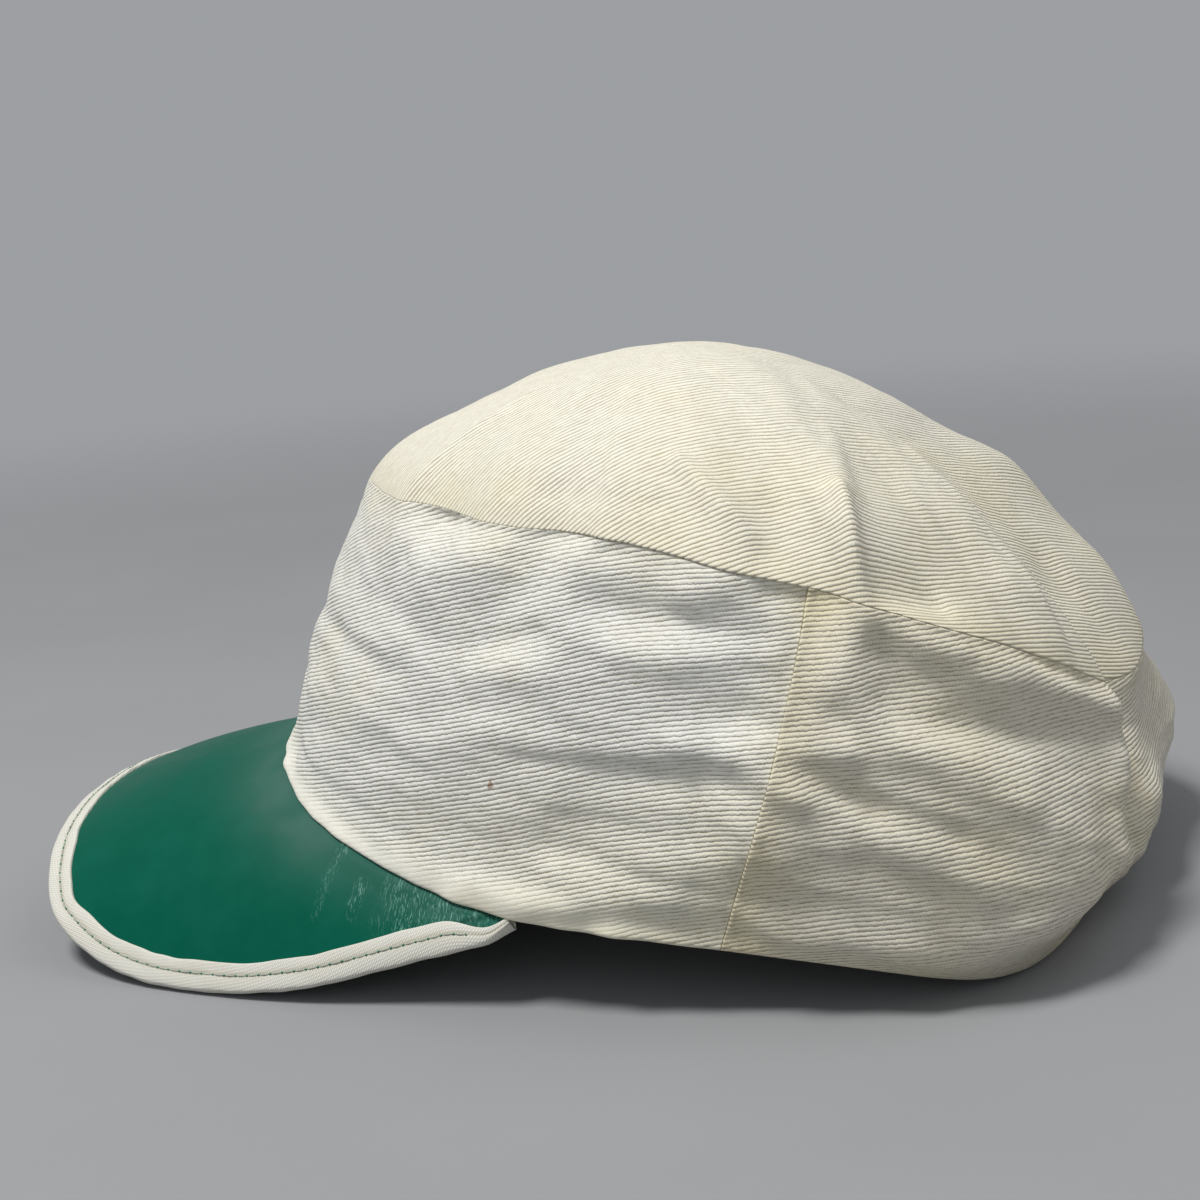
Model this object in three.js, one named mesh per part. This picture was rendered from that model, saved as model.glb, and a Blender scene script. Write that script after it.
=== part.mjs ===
// A soft cotton cap with a domed top, a cloth band in two pieces and a bound, arched peak.
// Millimetres, +Z up. The peak points to -Y and the wearer's left is +X.
// The cap rests on z = 0: on the rear hem and on the two low points of the peak's binding.
import * as THREE from 'three';

// ---- sizes that drive the shape -------------------------------------------------------
const CLOTH = 1.6;            // wall of the cloth, with its seam allowance
const HEM_CLOTH = 2.4;        // wall at the turned hem
const HEM_LIP = 1.0;          // how far the turned hem stands out above the peak
const GAP = 0.3;              // space kept between neighbouring pieces
const SHEET = 1.8;            // peak board with its vinyl face
const TAPE = 0.8;             // thickness of the binding tape
const TAPE_WIDE = 7.0;        // how far the tape reaches in from the peak's edge
const PEAK_SPREAD = 75;       // degrees each side of the front that the peak is sewn over
const SIDE_SEAM = { hem: 97.5, top: 111 };          // degrees from the front, left and right alike
const APEX = { x: 0, y: 20, z: 134.2 };             // highest point of the top
const FALL = { front: 1.72, side: 2.15, rear: 2.02 }; // power of the top's fall towards its seam
const SAG = 0.22;             // how much sooner the top falls behind the right ear
const CENTRE = { x: 0.51, y: 4.92 };                // brings the middle of the cap's outline to the origin
const TOP_ROLL = 4.0;         // height of the roll of cloth just inside the top seam
const CREAM = 0xe6e2d2, TAPE_CREAM = 0xdedbcb, GREEN = 0x00694d;

// One row for every 15 degrees from the middle of the front (0) to the middle of the rear (180).
// hem and seam are the band's lower and upper edges; swell is the outward curve at half height,
// puff is how much of that curve is pushed down towards the hem.
const BAND = [
  { deg: 0,   hem: [0, -83.5, 41.5],  seam: [0, -54.5, 108.0],  swell: 3.5,  puff: 0 },
  { deg: 15,  hem: [22, -79.5, 39.0], seam: [17, -52.0, 108.5], swell: 3.5,  puff: 0 },
  { deg: 30,  hem: [43, -68.0, 34.5], seam: [32, -45.5, 108.0], swell: 3.0,  puff: 0 },
  { deg: 45,  hem: [60, -49.0, 29.0], seam: [47, -34.5, 107.3], swell: 3.0,  puff: 0 },
  { deg: 60,  hem: [72, -26.0, 23.3], seam: [60, -17.0, 105.2], swell: 3.5,  puff: 0 },
  { deg: 75,  hem: [80, -3.0, 20.3],  seam: [69, 5.0, 103.0],   swell: 4.0,  puff: 0 },
  { deg: 90,  hem: [83, 23.5, 17.2],  seam: [75, 28.0, 99.5],   swell: 4.5,  puff: 0.5 },
  { deg: 105, hem: [82, 49.0, 12.8],  seam: [78, 51.0, 93.0],   swell: 6.0,  puff: 1.5 },
  { deg: 120, hem: [77, 73.5, 7.2],   seam: [76, 71.0, 86.5],   swell: 8.0,  puff: 3 },
  { deg: 135, hem: [66, 92.5, 1.5],   seam: [67, 90.5, 77.5],   swell: 11.0, puff: 5 },
  { deg: 150, hem: [48, 104.5, 0],    seam: [50, 108.0, 67.0],  swell: 14.0, puff: 7 },
  { deg: 165, hem: [25, 111.5, 0],    seam: [27, 119.0, 55.0],  swell: 15.0, puff: 6 },
  { deg: 180, hem: [0, 113.5, 0],     seam: [0, 121.0, 50.0],   swell: 13.0, puff: 4 },
];
const FLAT_HEM_FROM = 148;    // behind this the hem lies flat on the surface

// Outer edge of the bound peak, from its middle (at 0) to its corner (at 1).
const PEAK = [
  { at: 0.00, edge: [0, -145.0, 24.2] },
  { at: 0.15, edge: [22, -143.5, 23.2] },
  { at: 0.30, edge: [42, -139.0, 18.7] },
  { at: 0.45, edge: [58, -130.0, 10.1] },
  { at: 0.60, edge: [69, -110.0, 2.3] },
  { at: 0.72, edge: [75, -87.0, 0.5] },
  { at: 0.84, edge: [79, -60.0, 3.3] },
  { at: 0.92, edge: [80, -33.0, 10.3] },
  { at: 1.00, edge: [81, -7.0, 17.2] },
];

// Folds and dents. from and to are [degrees round, share up the band or out over the top];
// wide is the half width and rise the height in mm (below zero is a valley).
const FOLDS = [
  // the rear of the top and band: two lobes with a valley between them
  { on: 'band', from: [-166, 1.05], to: [-150, 0.60], wide: 26, rise: 10 },
  { on: 'top',  from: [-155, 0.98], to: [-155, 0.78], wide: 15, rise: 8 },
  { on: 'top',  from: [180, 0.95],  to: [180, 0.55],  wide: 5,  rise: -2.5 },
  { on: 'top',  from: [188, 0.60],  to: [182, 0.82],  wide: 6,  rise: -1.8 },
  { on: 'band', from: [171, 0.98],  to: [164, 0.40],  wide: 7.5,  rise: -5.0 },
  { on: 'band', from: [161, 0.93],  to: [153, 0.40],  wide: 6,  rise: 1.5 },
  // left side of the top
  { on: 'top', from: [122.7, 0.8], to: [118.7, 0.97], wide: 4.5, rise: 4.7 },
  { on: 'top', from: [148.6, 0.86], to: [123.8, 0.99], wide: 6.6, rise: -2.3 },
  { on: 'top', from: [151.3, 0.82], to: [152.4, 0.98], wide: 9.0, rise: 2.1 },
  { on: 'top', from: [145.6, 0.55], to: [134.0, 0.98], wide: 9.0, rise: -2.2 },
  { on: 'top', from: [160.2, 0.61], to: [156.4, 0.94], wide: 4.7, rise: 2.5 },
  { on: 'top', from: [108.0, 0.88], to: [107.9, 0.92], wide: 5.6, rise: -2.7 },
  { on: 'top', from: [132.7, 0.43], to: [120.4, 0.95], wide: 5.4, rise: 1.9 },
  { on: 'top', from: [131.7, 0.95], to: [123.5, 1.0], wide: 4.8, rise: -3.4 },
  // left side of the band, from front to rear
  { on: 'band', from: [49.2, 0.97], to: [79.9, 1.0], wide: 4.0, rise: -2.1 },
  { on: 'band', from: [54.1, 0.84], to: [68.9, 0.91], wide: 5.6, rise: 1.7 },
  { on: 'band', from: [52.5, 0.12], to: [99.3, 0.49], wide: 6.8, rise: -0.9 },
  { on: 'band', from: [48.8, -0.07], to: [101.3, 0.32], wide: 5.9, rise: 1.9 },
  { on: 'band', from: [43.2, -0.19], to: [91.8, 0.14], wide: 4.8, rise: 2.6 },
  { on: 'band', from: [64.1, 0.68], to: [74.3, 0.96], wide: 5.3, rise: -1.4 },
  { on: 'band', from: [64.4, 0.61], to: [76.2, 0.68], wide: 4.0, rise: 1.3 },
  { on: 'band', from: [65.3, 0.46], to: [95.0, 0.79], wide: 5.3, rise: 1.0 },
  { on: 'band', from: [81.3, 0.22], to: [97.2, 0.32], wide: 5.5, rise: -2.3 },
  { on: 'band', from: [64.9, 0.16], to: [98.2, 0.03], wide: 9.0, rise: -1.0 },
  { on: 'band', from: [96.9, 0.63], to: [112.3, 1.0], wide: 5.9, rise: -1.0 },
  { on: 'band', from: [93.7, 0.53], to: [114.2, 0.62], wide: 4.0, rise: 1.2 },
  { on: 'band', from: [99.8, 0.53], to: [107.6, 0.49], wide: 4.0, rise: 2.0 },
  { on: 'band', from: [101.1, 0.21], to: [129.2, 0.18], wide: 5.7, rise: -1.1 },
  { on: 'band', from: [105.2, 0.97], to: [115.1, 0.99], wide: 4.0, rise: -2.0 },
  { on: 'band', from: [110.4, 0.7], to: [119.1, 0.97], wide: 4.4, rise: 1.3 },
  { on: 'band', from: [120.7, 0.75], to: [136.5, 0.78], wide: 4.3, rise: -2.3 },
  { on: 'band', from: [117.1, 0.74], to: [136.0, 0.6], wide: 5.8, rise: 2.7 },
  { on: 'band', from: [109.4, 0.52], to: [127.2, 0.45], wide: 4.0, rise: -1.7 },
  { on: 'band', from: [110.9, 0.31], to: [123.1, 0.3], wide: 4.8, rise: -1.9 },
  { on: 'band', from: [120.2, 0.06], to: [134.7, -0.21], wide: 9.0, rise: 3.0 },
  { on: 'band', from: [125.8, 1.0], to: [160.8, 0.99], wide: 4.0, rise: -2.1 },
  { on: 'band', from: [133.8, 0.92], to: [152.9, 0.85], wide: 5.4, rise: 1.1 },
  { on: 'band', from: [132.2, 0.4], to: [140.2, 0.28], wide: 8.3, rise: -1.5 },
  { on: 'band', from: [130.0, 0.13], to: [160.8, 0.39], wide: 5.1, rise: 2.4 },
  { on: 'band', from: [145.9, 0.99], to: [149.6, 0.97], wide: 4.0, rise: -2.2 },
  { on: 'band', from: [145.4, 0.65], to: [166.1, 0.78], wide: 9.0, rise: 0.9 },
  { on: 'band', from: [150.5, 0.33], to: [154.2, 0.49], wide: 9.0, rise: -2.0 },
  // broad hollows and swellings along the outline of the top and of the rear
  { on: 'top', from: [15.0, 0.89], to: [15.0, 0.90], wide: 16, rise: 0.8 },
  { on: 'top', from: [10.5, 0.57], to: [10.5, 0.57], wide: 16, rise: -1.2 },
  { on: 'top', from: [-16.5, 0.41], to: [-16.5, 0.42], wide: 16, rise: 2.5 },
  { on: 'top', from: [-45.0, 0.23], to: [-45.0, 0.23], wide: 16, rise: 1.4 },
  { on: 'top', from: [-144.0, 0.24], to: [-144.0, 0.25], wide: 16, rise: -0.8 },
  { on: 'top', from: [-144.0, 0.44], to: [-144.0, 0.44], wide: 16, rise: 1.6 },
  { on: 'top', from: [-159.0, 0.46], to: [-159.0, 0.47], wide: 16, rise: 1.7 },
  { on: 'top', from: [-157.5, 0.64], to: [-157.5, 0.65], wide: 16, rise: 1.4 },
  { on: 'top', from: [-156.0, 0.80], to: [-156.0, 0.81], wide: 16, rise: -1.0 },
  { on: 'top', from: [-157.5, 0.90], to: [-157.5, 0.91], wide: 16, rise: -5.8 },
  { on: 'top', from: [-162.0, 0.96], to: [-162.0, 0.96], wide: 16, rise: 3.1 },
  { on: 'band', from: [-160.9, 0.62], to: [-160.1, 0.62], wide: 16, rise: 5.0 },
  { on: 'band', from: [-165.4, 0.38], to: [-164.6, 0.38], wide: 16, rise: -0.8 },
  { on: 'band', from: [175.1, 0.46], to: [175.9, 0.46], wide: 16, rise: 0.7 },
  { on: 'band', from: [161.6, 0.40], to: [162.4, 0.40], wide: 16, rise: -6.2 },
  { on: 'band', from: [154.1, 0.16], to: [154.9, 0.16], wide: 16, rise: -5.9 },
  // right side, hidden in the picture: like folds in other places
  { on: 'band', from: [-62, 0.70],  to: [-98, 0.74],  wide: 6,  rise: -1.8 },
  { on: 'band', from: [-70, 0.48],  to: [-102, 0.44], wide: 5,  rise: -1.8 },
  { on: 'band', from: [-66, 0.58],  to: [-100, 0.57], wide: 5,  rise: 1.6 },
  { on: 'band', from: [-112, 0.66], to: [-138, 0.72], wide: 6,  rise: -2.4 },
  { on: 'band', from: [-110, 0.52], to: [-136, 0.42], wide: 5,  rise: -2.6 },
  { on: 'band', from: [-108, 0.30], to: [-130, 0.26], wide: 6,  rise: 2.0 },
  { on: 'top',  from: [-118, 0.99], to: [-128, 0.68], wide: 7,  rise: -1.8 },
];

// ---- small vector helpers ---------------------------------------------------------------
const rad = Math.PI / 180;
const V = (x, y, z) => new THREE.Vector3(x, y, z);
const lerp = (a, b, t) => a + (b - a) * t;
const smooth = (a, b, x) => { const t = Math.min(1, Math.max(0, (x - a) / (b - a))); return t * t * (3 - 2 * t); };
const turn = (a) => ((a + 540) % 360 + 360) % 360 - 180;      // degrees brought to -180..180

// Even (cosine) or odd (sine) series through the table's equally spaced rows.
function series(values, odd) {
  const n = values.length - 1, c = [];
  for (let k = 0; k <= n; k++) {
    let s = 0;
    for (let j = 0; j <= n; j++) {
      const w = odd ? 1 : (j === 0 || j === n ? 0.5 : 1);
      s += w * values[j] * (odd ? Math.sin(Math.PI * j * k / n) : Math.cos(Math.PI * j * k / n));
    }
    c.push(s * 2 / n * (!odd && (k === 0 || k === n) ? 0.5 : 1));
  }
  return (deg) => c.reduce((sum, ck, k) => sum + ck * (odd ? Math.sin(k * deg * rad) : Math.cos(k * deg * rad)), 0);
}
const hemX = series(BAND.map((r) => r.hem[0]), true);
const hemY = series(BAND.map((r) => r.hem[1]), false);
const hemZ = series(BAND.map((r) => r.hem[2]), false);
const seamX = series(BAND.map((r) => r.seam[0]), true);
const seamY = series(BAND.map((r) => r.seam[1]), false);
const seamZ = series(BAND.map((r) => r.seam[2]), false);
const swell = series(BAND.map((r) => r.swell), false);
const puff = series(BAND.map((r) => r.puff), false);

function hem(deg) {
  const a = Math.abs(turn(deg));
  const z = Math.max(0, hemZ(deg)) * (1 - smooth(FLAT_HEM_FROM - 10, FLAT_HEM_FROM, a));
  return V(hemX(deg), hemY(deg), z);
}
const seam = (deg) => V(seamX(deg), seamY(deg), seamZ(deg));
function outward(deg) {                 // level direction out of the cap at the hem
  const a = hem(deg - 1), b = hem(deg + 1);
  return V(b.y - a.y, a.x - b.x, 0).normalize();
}

// Height of all folds of one piece at a point; measure gives the point's place in flat millimetres.
function foldAt(on, measure, deg, t) {
  const p = measure(deg, t);
  let h = 0;
  for (const f of FOLDS) {
    if (f.on !== on) continue;
    const mid = (f.from[0] + f.to[0]) / 2, shift = deg - turn(deg - mid) - mid;   // the turn nearest to deg
    const from = measure(f.from[0] + shift, f.from[1]), to = measure(f.to[0] + shift, f.to[1]);
    const ux = to[0] - from[0], uy = to[1] - from[1], len = Math.hypot(ux, uy) || 1;
    const along = ((p[0] - from[0]) * ux + (p[1] - from[1]) * uy) / (len * len);
    const s = Math.min(1, Math.max(0, along));
    const d = Math.hypot(p[0] - from[0] - s * ux, p[1] - from[1] - s * uy) / f.wide;
    h += f.rise * Math.exp(-d * d);
  }
  return h;
}
const bandMeasure = (deg, t) => [deg * 1.45, t * 78];
const topMeasure = (deg, s) => {        // seen from above, drawn out at the steep rear
  const e = seam(deg), k = 1 + 0.6 * smooth(120, 180, Math.abs(turn(deg)));
  return [(e.x - APEX.x) * s, (e.y - APEX.y) * s * k];
};

// Outer face of the band: t runs from the hem (0) to the top seam (1).
function bandFace(deg, t) {
  const o = outward(deg), h = hem(deg);
  const lip = HEM_LIP * Math.exp(-((t / 0.05) ** 2)) * (1 - smooth(80, 110, Math.abs(turn(deg))));
  const keep = smooth(0, 0.08, t);      // the hem itself stays smooth
  const out = swell(deg) * Math.sin(Math.PI * t) + puff(deg) * Math.sin(2 * Math.PI * t) + lip
    + keep * foldAt('band', bandMeasure, deg, t);
  return h.lerp(seam(deg), t).addScaledVector(o, out);
}
// Outer face of the top: s runs from the apex (0) to the top seam (1).
function topBase(deg, s) {
  const e = bandFace(deg, 1), a = Math.abs(turn(deg)) / 90;
  const p = (a < 1 ? lerp(FALL.front, FALL.side, a) : lerp(FALL.side, FALL.rear, a - 1))
    - SAG * Math.exp(-((turn(deg + 160) / 32) ** 2));
  const z = APEX.z - (APEX.z - e.z - TOP_ROLL) * s ** p - TOP_ROLL * s ** 16;
  return V(lerp(APEX.x, e.x, s), lerp(APEX.y, e.y, s), z);
}
function topFace(deg, s) {
  const p = topBase(deg, s);
  const o = V(p.x - APEX.x, p.y - APEX.y, 0).normalize();
  const h = foldAt('top', topMeasure, deg, s) * s * s * (1 - s ** 12);
  return p.addScaledVector(o, 0.6 * h).add(V(0, 0, 0.8 * h));
}
// Outward normal of a face by small steps; near an edge it is turned level so that edges meet squarely.
function normalOf(face, deg, t, flip) {
  const a = 0.4, b = 0.006;
  const lo = Math.max(0.001, t - b), hi = Math.min(1, t + b);
  const du = face(deg + a, t).sub(face(deg - a, t));
  const dv = face(deg, hi).sub(face(deg, lo));
  return du.cross(dv).normalize().multiplyScalar(flip);
}

// ---- closed bodies ------------------------------------------------------------------------
// A body from an outer and an inner grid of points (rows of equal length); around closes the rows.
function shell(outer, inner, around) {
  const rows = outer.length, cols = outer[0].length, pos = [], idx = [];
  for (const g of [outer, inner]) for (const r of g) for (const p of r) pos.push(p.x, p.y, p.z);
  const at = (side, r, c) => side * rows * cols + r * cols + (around ? (c + cols) % cols : c);
  const quad = (a, b, c, d) => idx.push(a, b, c, a, c, d);
  const span = around ? cols : cols - 1;
  for (let r = 0; r < rows - 1; r++) for (let c = 0; c < span; c++) {
    quad(at(0, r, c), at(0, r, c + 1), at(0, r + 1, c + 1), at(0, r + 1, c));
    quad(at(1, r, c), at(1, r + 1, c), at(1, r + 1, c + 1), at(1, r, c + 1));
  }
  for (let c = 0; c < span; c++) {
    quad(at(0, 0, c), at(1, 0, c), at(1, 0, c + 1), at(0, 0, c + 1));
    quad(at(0, rows - 1, c), at(0, rows - 1, c + 1), at(1, rows - 1, c + 1), at(1, rows - 1, c));
  }
  if (!around) for (let r = 0; r < rows - 1; r++) {
    quad(at(0, r, 0), at(0, r + 1, 0), at(1, r + 1, 0), at(1, r, 0));
    quad(at(0, r, cols - 1), at(1, r, cols - 1), at(1, r + 1, cols - 1), at(0, r + 1, cols - 1));
  }
  return geometry(pos, idx);
}
function geometry(pos, idx) {
  const g = new THREE.BufferGeometry();
  g.setAttribute('position', new THREE.Float32BufferAttribute(pos, 3));
  g.setIndex(idx);
  g.computeVertexNormals();
  return g;
}

// Cloth top: rings round the apex, closed over the middle by a fan on each side.
function topGeometry() {
  const around = 68, rings = [0.12, 0.26, 0.40, 0.53, 0.64, 0.74, 0.82, 0.89, 0.95, 0.98, 1.0];
  const pos = [], idx = [];
  const put = (p) => { pos.push(p.x, p.y, p.z); return pos.length / 3 - 1; };
  const outer = [], inner = [];
  for (const s of rings) {
    const ro = [], ri = [];
    for (let i = 0; i < around; i++) {
      const deg = i * 360 / around, p = topFace(deg, s);
      const n = normalOf(topFace, deg, Math.min(s, 0.995), -1);
      if (n.z < 0) n.z = 0;
      const w = smooth(0.955, 1, s);
      const dir = n.lerp(outward(deg), w).normalize();
      p.z += GAP / 2;
      ro.push(put(p));
      ri.push(put(p.clone().addScaledVector(dir, -CLOTH)));
    }
    outer.push(ro); inner.push(ri);
  }
  const crest = topFace(0, 0.0001);
  const up = put(V(APEX.x, APEX.y, crest.z + GAP / 2)), down = put(V(APEX.x, APEX.y, crest.z + GAP / 2 - CLOTH));
  for (let i = 0; i < around; i++) {
    const j = (i + 1) % around;
    idx.push(up, outer[0][i], outer[0][j]);
    idx.push(down, inner[0][j], inner[0][i]);
    for (let r = 0; r < rings.length - 1; r++) {
      idx.push(outer[r][i], outer[r + 1][i], outer[r + 1][j], outer[r][i], outer[r + 1][j], outer[r][j]);
      idx.push(inner[r][i], inner[r + 1][j], inner[r + 1][i], inner[r][i], inner[r][j], inner[r + 1][j]);
    }
    const e = rings.length - 1;
    idx.push(outer[e][i], inner[e][i], inner[e][j], outer[e][i], inner[e][j], outer[e][j]);
  }
  return geometry(pos, idx);
}

// Cloth band between two seams. span gives the first and last degree at height t.
function bandGeometry(span, cols) {
  const heights = [0, 0.04, 0.10, 0.20, 0.30, 0.39, 0.48, 0.57, 0.66, 0.75, 0.84, 0.93, 1.0];
  const outer = [], inner = [];
  for (const t of heights) {
    const [first, last] = span(t), ro = [], ri = [];
    for (let i = 0; i <= cols; i++) {
      const deg = lerp(first, last, i / cols), p = bandFace(deg, t);
      const n = normalOf(bandFace, deg, t, 1);
      const edge = Math.max(1 - smooth(0, 0.07, t), smooth(0.95, 1, t));
      const dir = n.lerp(outward(deg), edge).normalize();
      const wall = lerp(HEM_CLOTH, CLOTH, smooth(0.05, 0.14, t));
      p.z -= (GAP / 2) * smooth(0.9, 1, t);
      ro.push(p);
      ri.push(p.clone().addScaledVector(dir, -wall));
    }
    outer.push(ro); inner.push(ri);
  }
  return shell(outer, inner, false);
}
const seamAt = (t) => lerp(SIDE_SEAM.hem, SIDE_SEAM.top, t);
const SEAM_GAP = GAP / 2 / 83 / rad;     // half the gap, as degrees round the band

// Peak: a curve through the edge table, and a sheet from under the hem to that edge.
const edgeCurve = (() => {
  const half = PEAK.slice(1).reverse().map((r) => ({ at: -r.at, p: V(-r.edge[0], r.edge[1], r.edge[2]) }));
  const rows = [...half, ...PEAK.map((r) => ({ at: r.at, p: V(...r.edge) }))];
  const slope = rows.map((r, i) => {
    const a = rows[Math.max(0, i - 1)], b = rows[Math.min(rows.length - 1, i + 1)];
    return b.p.clone().sub(a.p).divideScalar(b.at - a.at);
  });
  return (u) => {
    let i = 0;
    while (i < rows.length - 2 && u > rows[i + 1].at) i++;
    const w = rows[i + 1].at - rows[i].at, t = (u - rows[i].at) / w, t2 = t * t, t3 = t2 * t;
    return rows[i].p.clone().multiplyScalar(2 * t3 - 3 * t2 + 1)
      .addScaledVector(slope[i], w * (t3 - 2 * t2 + t))
      .addScaledVector(rows[i + 1].p, -2 * t3 + 3 * t2)
      .addScaledVector(slope[i + 1], w * (t3 - t2));
  };
})();
function peakFrame(u) {                   // root under the hem, edge, and the outward direction in the sheet
  const deg = u * PEAK_SPREAD, h = hem(deg), o = outward(deg);
  const drop = GAP + SHEET / 2 + 0.15;
  const tuck = h.clone().addScaledVector(o, -HEM_CLOTH + HEM_LIP).add(V(0, 0, -drop));
  const root = h.clone().addScaledVector(o, HEM_LIP + 0.3).add(V(0, 0, -drop));
  const edge = edgeCurve(u);
  const along = edgeCurve(Math.min(1, u + 0.005)).sub(edgeCurve(Math.max(-1, u - 0.005))).normalize();
  const out = edge.clone().sub(root);
  const reach = out.length();
  out.addScaledVector(along, -out.dot(along));
  const across = Math.max(out.length(), 1e-6);     // reach measured square to the edge
  out.divideScalar(across);
  return { tuck, root, edge, along, out, reach, across };
}
function peakMid(u, v) {                  // middle surface, v from the root (0) to the sheet's edge (1)
  const f = peakFrame(u);
  const end = f.edge.clone().addScaledVector(f.out, -(TAPE + GAP));
  return f.root.clone().lerp(end, v).add(V(0, 0, 0.03 * f.reach * Math.sin(Math.PI * v)));
}
function peakNormal(u, v) {
  const a = peakMid(Math.min(1, u + 0.01), v).sub(peakMid(Math.max(-1, u - 0.01), v));
  const b = peakMid(u, Math.min(1, v + 0.02)).sub(peakMid(u, Math.max(0, v - 0.02)));
  return b.cross(a).normalize();
}
const PEAK_END = 0.975;                   // the sheet and tape stop just short of the sewn corner
const PEAK_COLS = 40;                     // the sheet and the tape are divided alike
function tapeRows(u) {                    // the tape's legs: their length, and where they end and bend on the sheet
  const { across } = peakFrame(u), leg = Math.max(1.6, Math.min(TAPE_WIDE, 0.55 * across));
  const v = (back) => 1 - (back - TAPE - GAP) / Math.max(1e-6, across - TAPE - GAP);
  return { leg, end: v(leg), half: v(Math.max(TAPE + GAP + 0.15, leg * 0.55)) };   // in order even where the sheet is narrow
}
function peakGeometry() {
  const cols = PEAK_COLS, top = [], under = [];
  const rowT = [], rowU = [];
  for (let i = 0; i <= cols; i++) {
    const u = lerp(-PEAK_END, PEAK_END, i / cols), f = peakFrame(u);
    rowT.push(f.tuck.clone().add(V(0, 0, SHEET / 2))); rowU.push(f.tuck.clone().add(V(0, 0, -SHEET / 2)));
  }
  top.push(rowT); under.push(rowU);
  const shares = [() => 0, (r) => 0.33 * r.end, (r) => 0.67 * r.end, (r) => r.end, (r) => r.half, () => 1];
  for (const share of shares) {
    const a = [], b = [];
    for (let i = 0; i <= cols; i++) {
      const u = lerp(-PEAK_END, PEAK_END, i / cols), v = share(tapeRows(u)), m = peakMid(u, v);
      const n = v === 0 ? V(0, 0, 1) : peakNormal(u, v);
      a.push(m.clone().addScaledVector(n, SHEET / 2)); b.push(m.clone().addScaledVector(n, -SHEET / 2));
    }
    top.push(a); under.push(b);
  }
  return shell(under, top, false);
}
// Binding: a U of tape whose legs lie along the sheet's two faces.
function bindingGeometry() {
  const stations = PEAK_COLS, rings = [];
  for (let i = 0; i <= stations; i++) {
    const u = lerp(-PEAK_END, PEAK_END, i / stations), f = peakFrame(u), rows = tapeRows(u);
    const inside = SHEET / 2 + GAP, outside = inside + TAPE;
    const on = (v, side) => peakMid(u, v).addScaledVector(peakNormal(u, v), side);
    const bow = (side, back) => f.edge.clone().addScaledVector(f.out, -back).addScaledVector(peakNormal(u, 1), side);
    rings.push([
      on(rows.end, outside), on(rows.half, outside), bow(outside, TAPE + GAP), bow(outside * 0.55, 0),
      bow(-outside * 0.55, 0), bow(-outside, TAPE + GAP), on(rows.half, -outside), on(rows.end, -outside),
      on(rows.end, -inside), on(rows.half, -inside), bow(-inside, TAPE + GAP * 0.3), bow(inside, TAPE + GAP * 0.3),
      on(rows.half, inside), on(rows.end, inside),
    ]);
  }
  const n = rings[0].length, pos = [], idx = [];
  for (const r of rings) for (const p of r) pos.push(p.x, p.y, p.z);
  for (let i = 0; i < stations; i++) for (let k = 0; k < n; k++) {
    const a = i * n + k, b = i * n + (k + 1) % n;
    idx.push(a, b, b + n, a, b + n, a + n);
  }
  for (const [base, flip] of [[0, false], [stations * n, true]]) {
    for (let k = 0; k < n / 2 - 1; k++) {    // the U's end is a strip between its outer and inner lines
      const q = [base + k, base + k + 1, base + n - 2 - k, base + n - 1 - k];
      if (flip) idx.push(q[0], q[1], q[2], q[0], q[2], q[3]); else idx.push(q[0], q[2], q[1], q[0], q[3], q[2]);
    }
  }
  return geometry(pos, idx);
}

// ---- scene graph -----------------------------------------------------------------------------
function piece(name, geom, color, roughness) {
  const mesh = new THREE.Mesh(geom, new THREE.MeshStandardMaterial({ color, roughness, metalness: 0 }));
  mesh.name = name;
  return mesh;
}
const cap = new THREE.Group();
cap.name = 'cap';
cap.position.set(CENTRE.x, CENTRE.y, 0);
cap.add(piece('crown_top', topGeometry(), CREAM, 0.9));
cap.add(piece('front_band', bandGeometry((t) => [-seamAt(t) + SEAM_GAP, seamAt(t) - SEAM_GAP], 46), CREAM, 0.9));
cap.add(piece('back_band', bandGeometry((t) => [seamAt(t) + SEAM_GAP, 360 - seamAt(t) - SEAM_GAP], 38), CREAM, 0.9));
cap.add(piece('peak', peakGeometry(), GREEN, 0.35));
cap.add(piece('peak_binding', bindingGeometry(), TAPE_CREAM, 0.85));

export default cap;
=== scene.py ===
import math
import bpy
import numpy as np
from mathutils import Matrix, Vector


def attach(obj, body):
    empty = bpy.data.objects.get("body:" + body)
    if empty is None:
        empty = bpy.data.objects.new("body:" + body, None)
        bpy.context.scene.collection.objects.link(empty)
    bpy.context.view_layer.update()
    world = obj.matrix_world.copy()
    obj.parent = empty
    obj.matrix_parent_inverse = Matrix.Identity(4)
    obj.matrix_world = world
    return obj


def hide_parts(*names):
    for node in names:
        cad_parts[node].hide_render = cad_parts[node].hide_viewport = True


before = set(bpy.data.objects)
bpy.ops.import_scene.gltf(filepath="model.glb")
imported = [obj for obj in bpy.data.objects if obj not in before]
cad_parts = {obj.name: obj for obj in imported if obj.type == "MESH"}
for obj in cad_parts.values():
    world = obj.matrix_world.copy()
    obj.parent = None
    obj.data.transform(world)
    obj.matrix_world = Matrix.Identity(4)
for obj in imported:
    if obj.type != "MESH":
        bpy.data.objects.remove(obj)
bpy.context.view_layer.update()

MM = 0.001
rad = math.pi / 180

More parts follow.
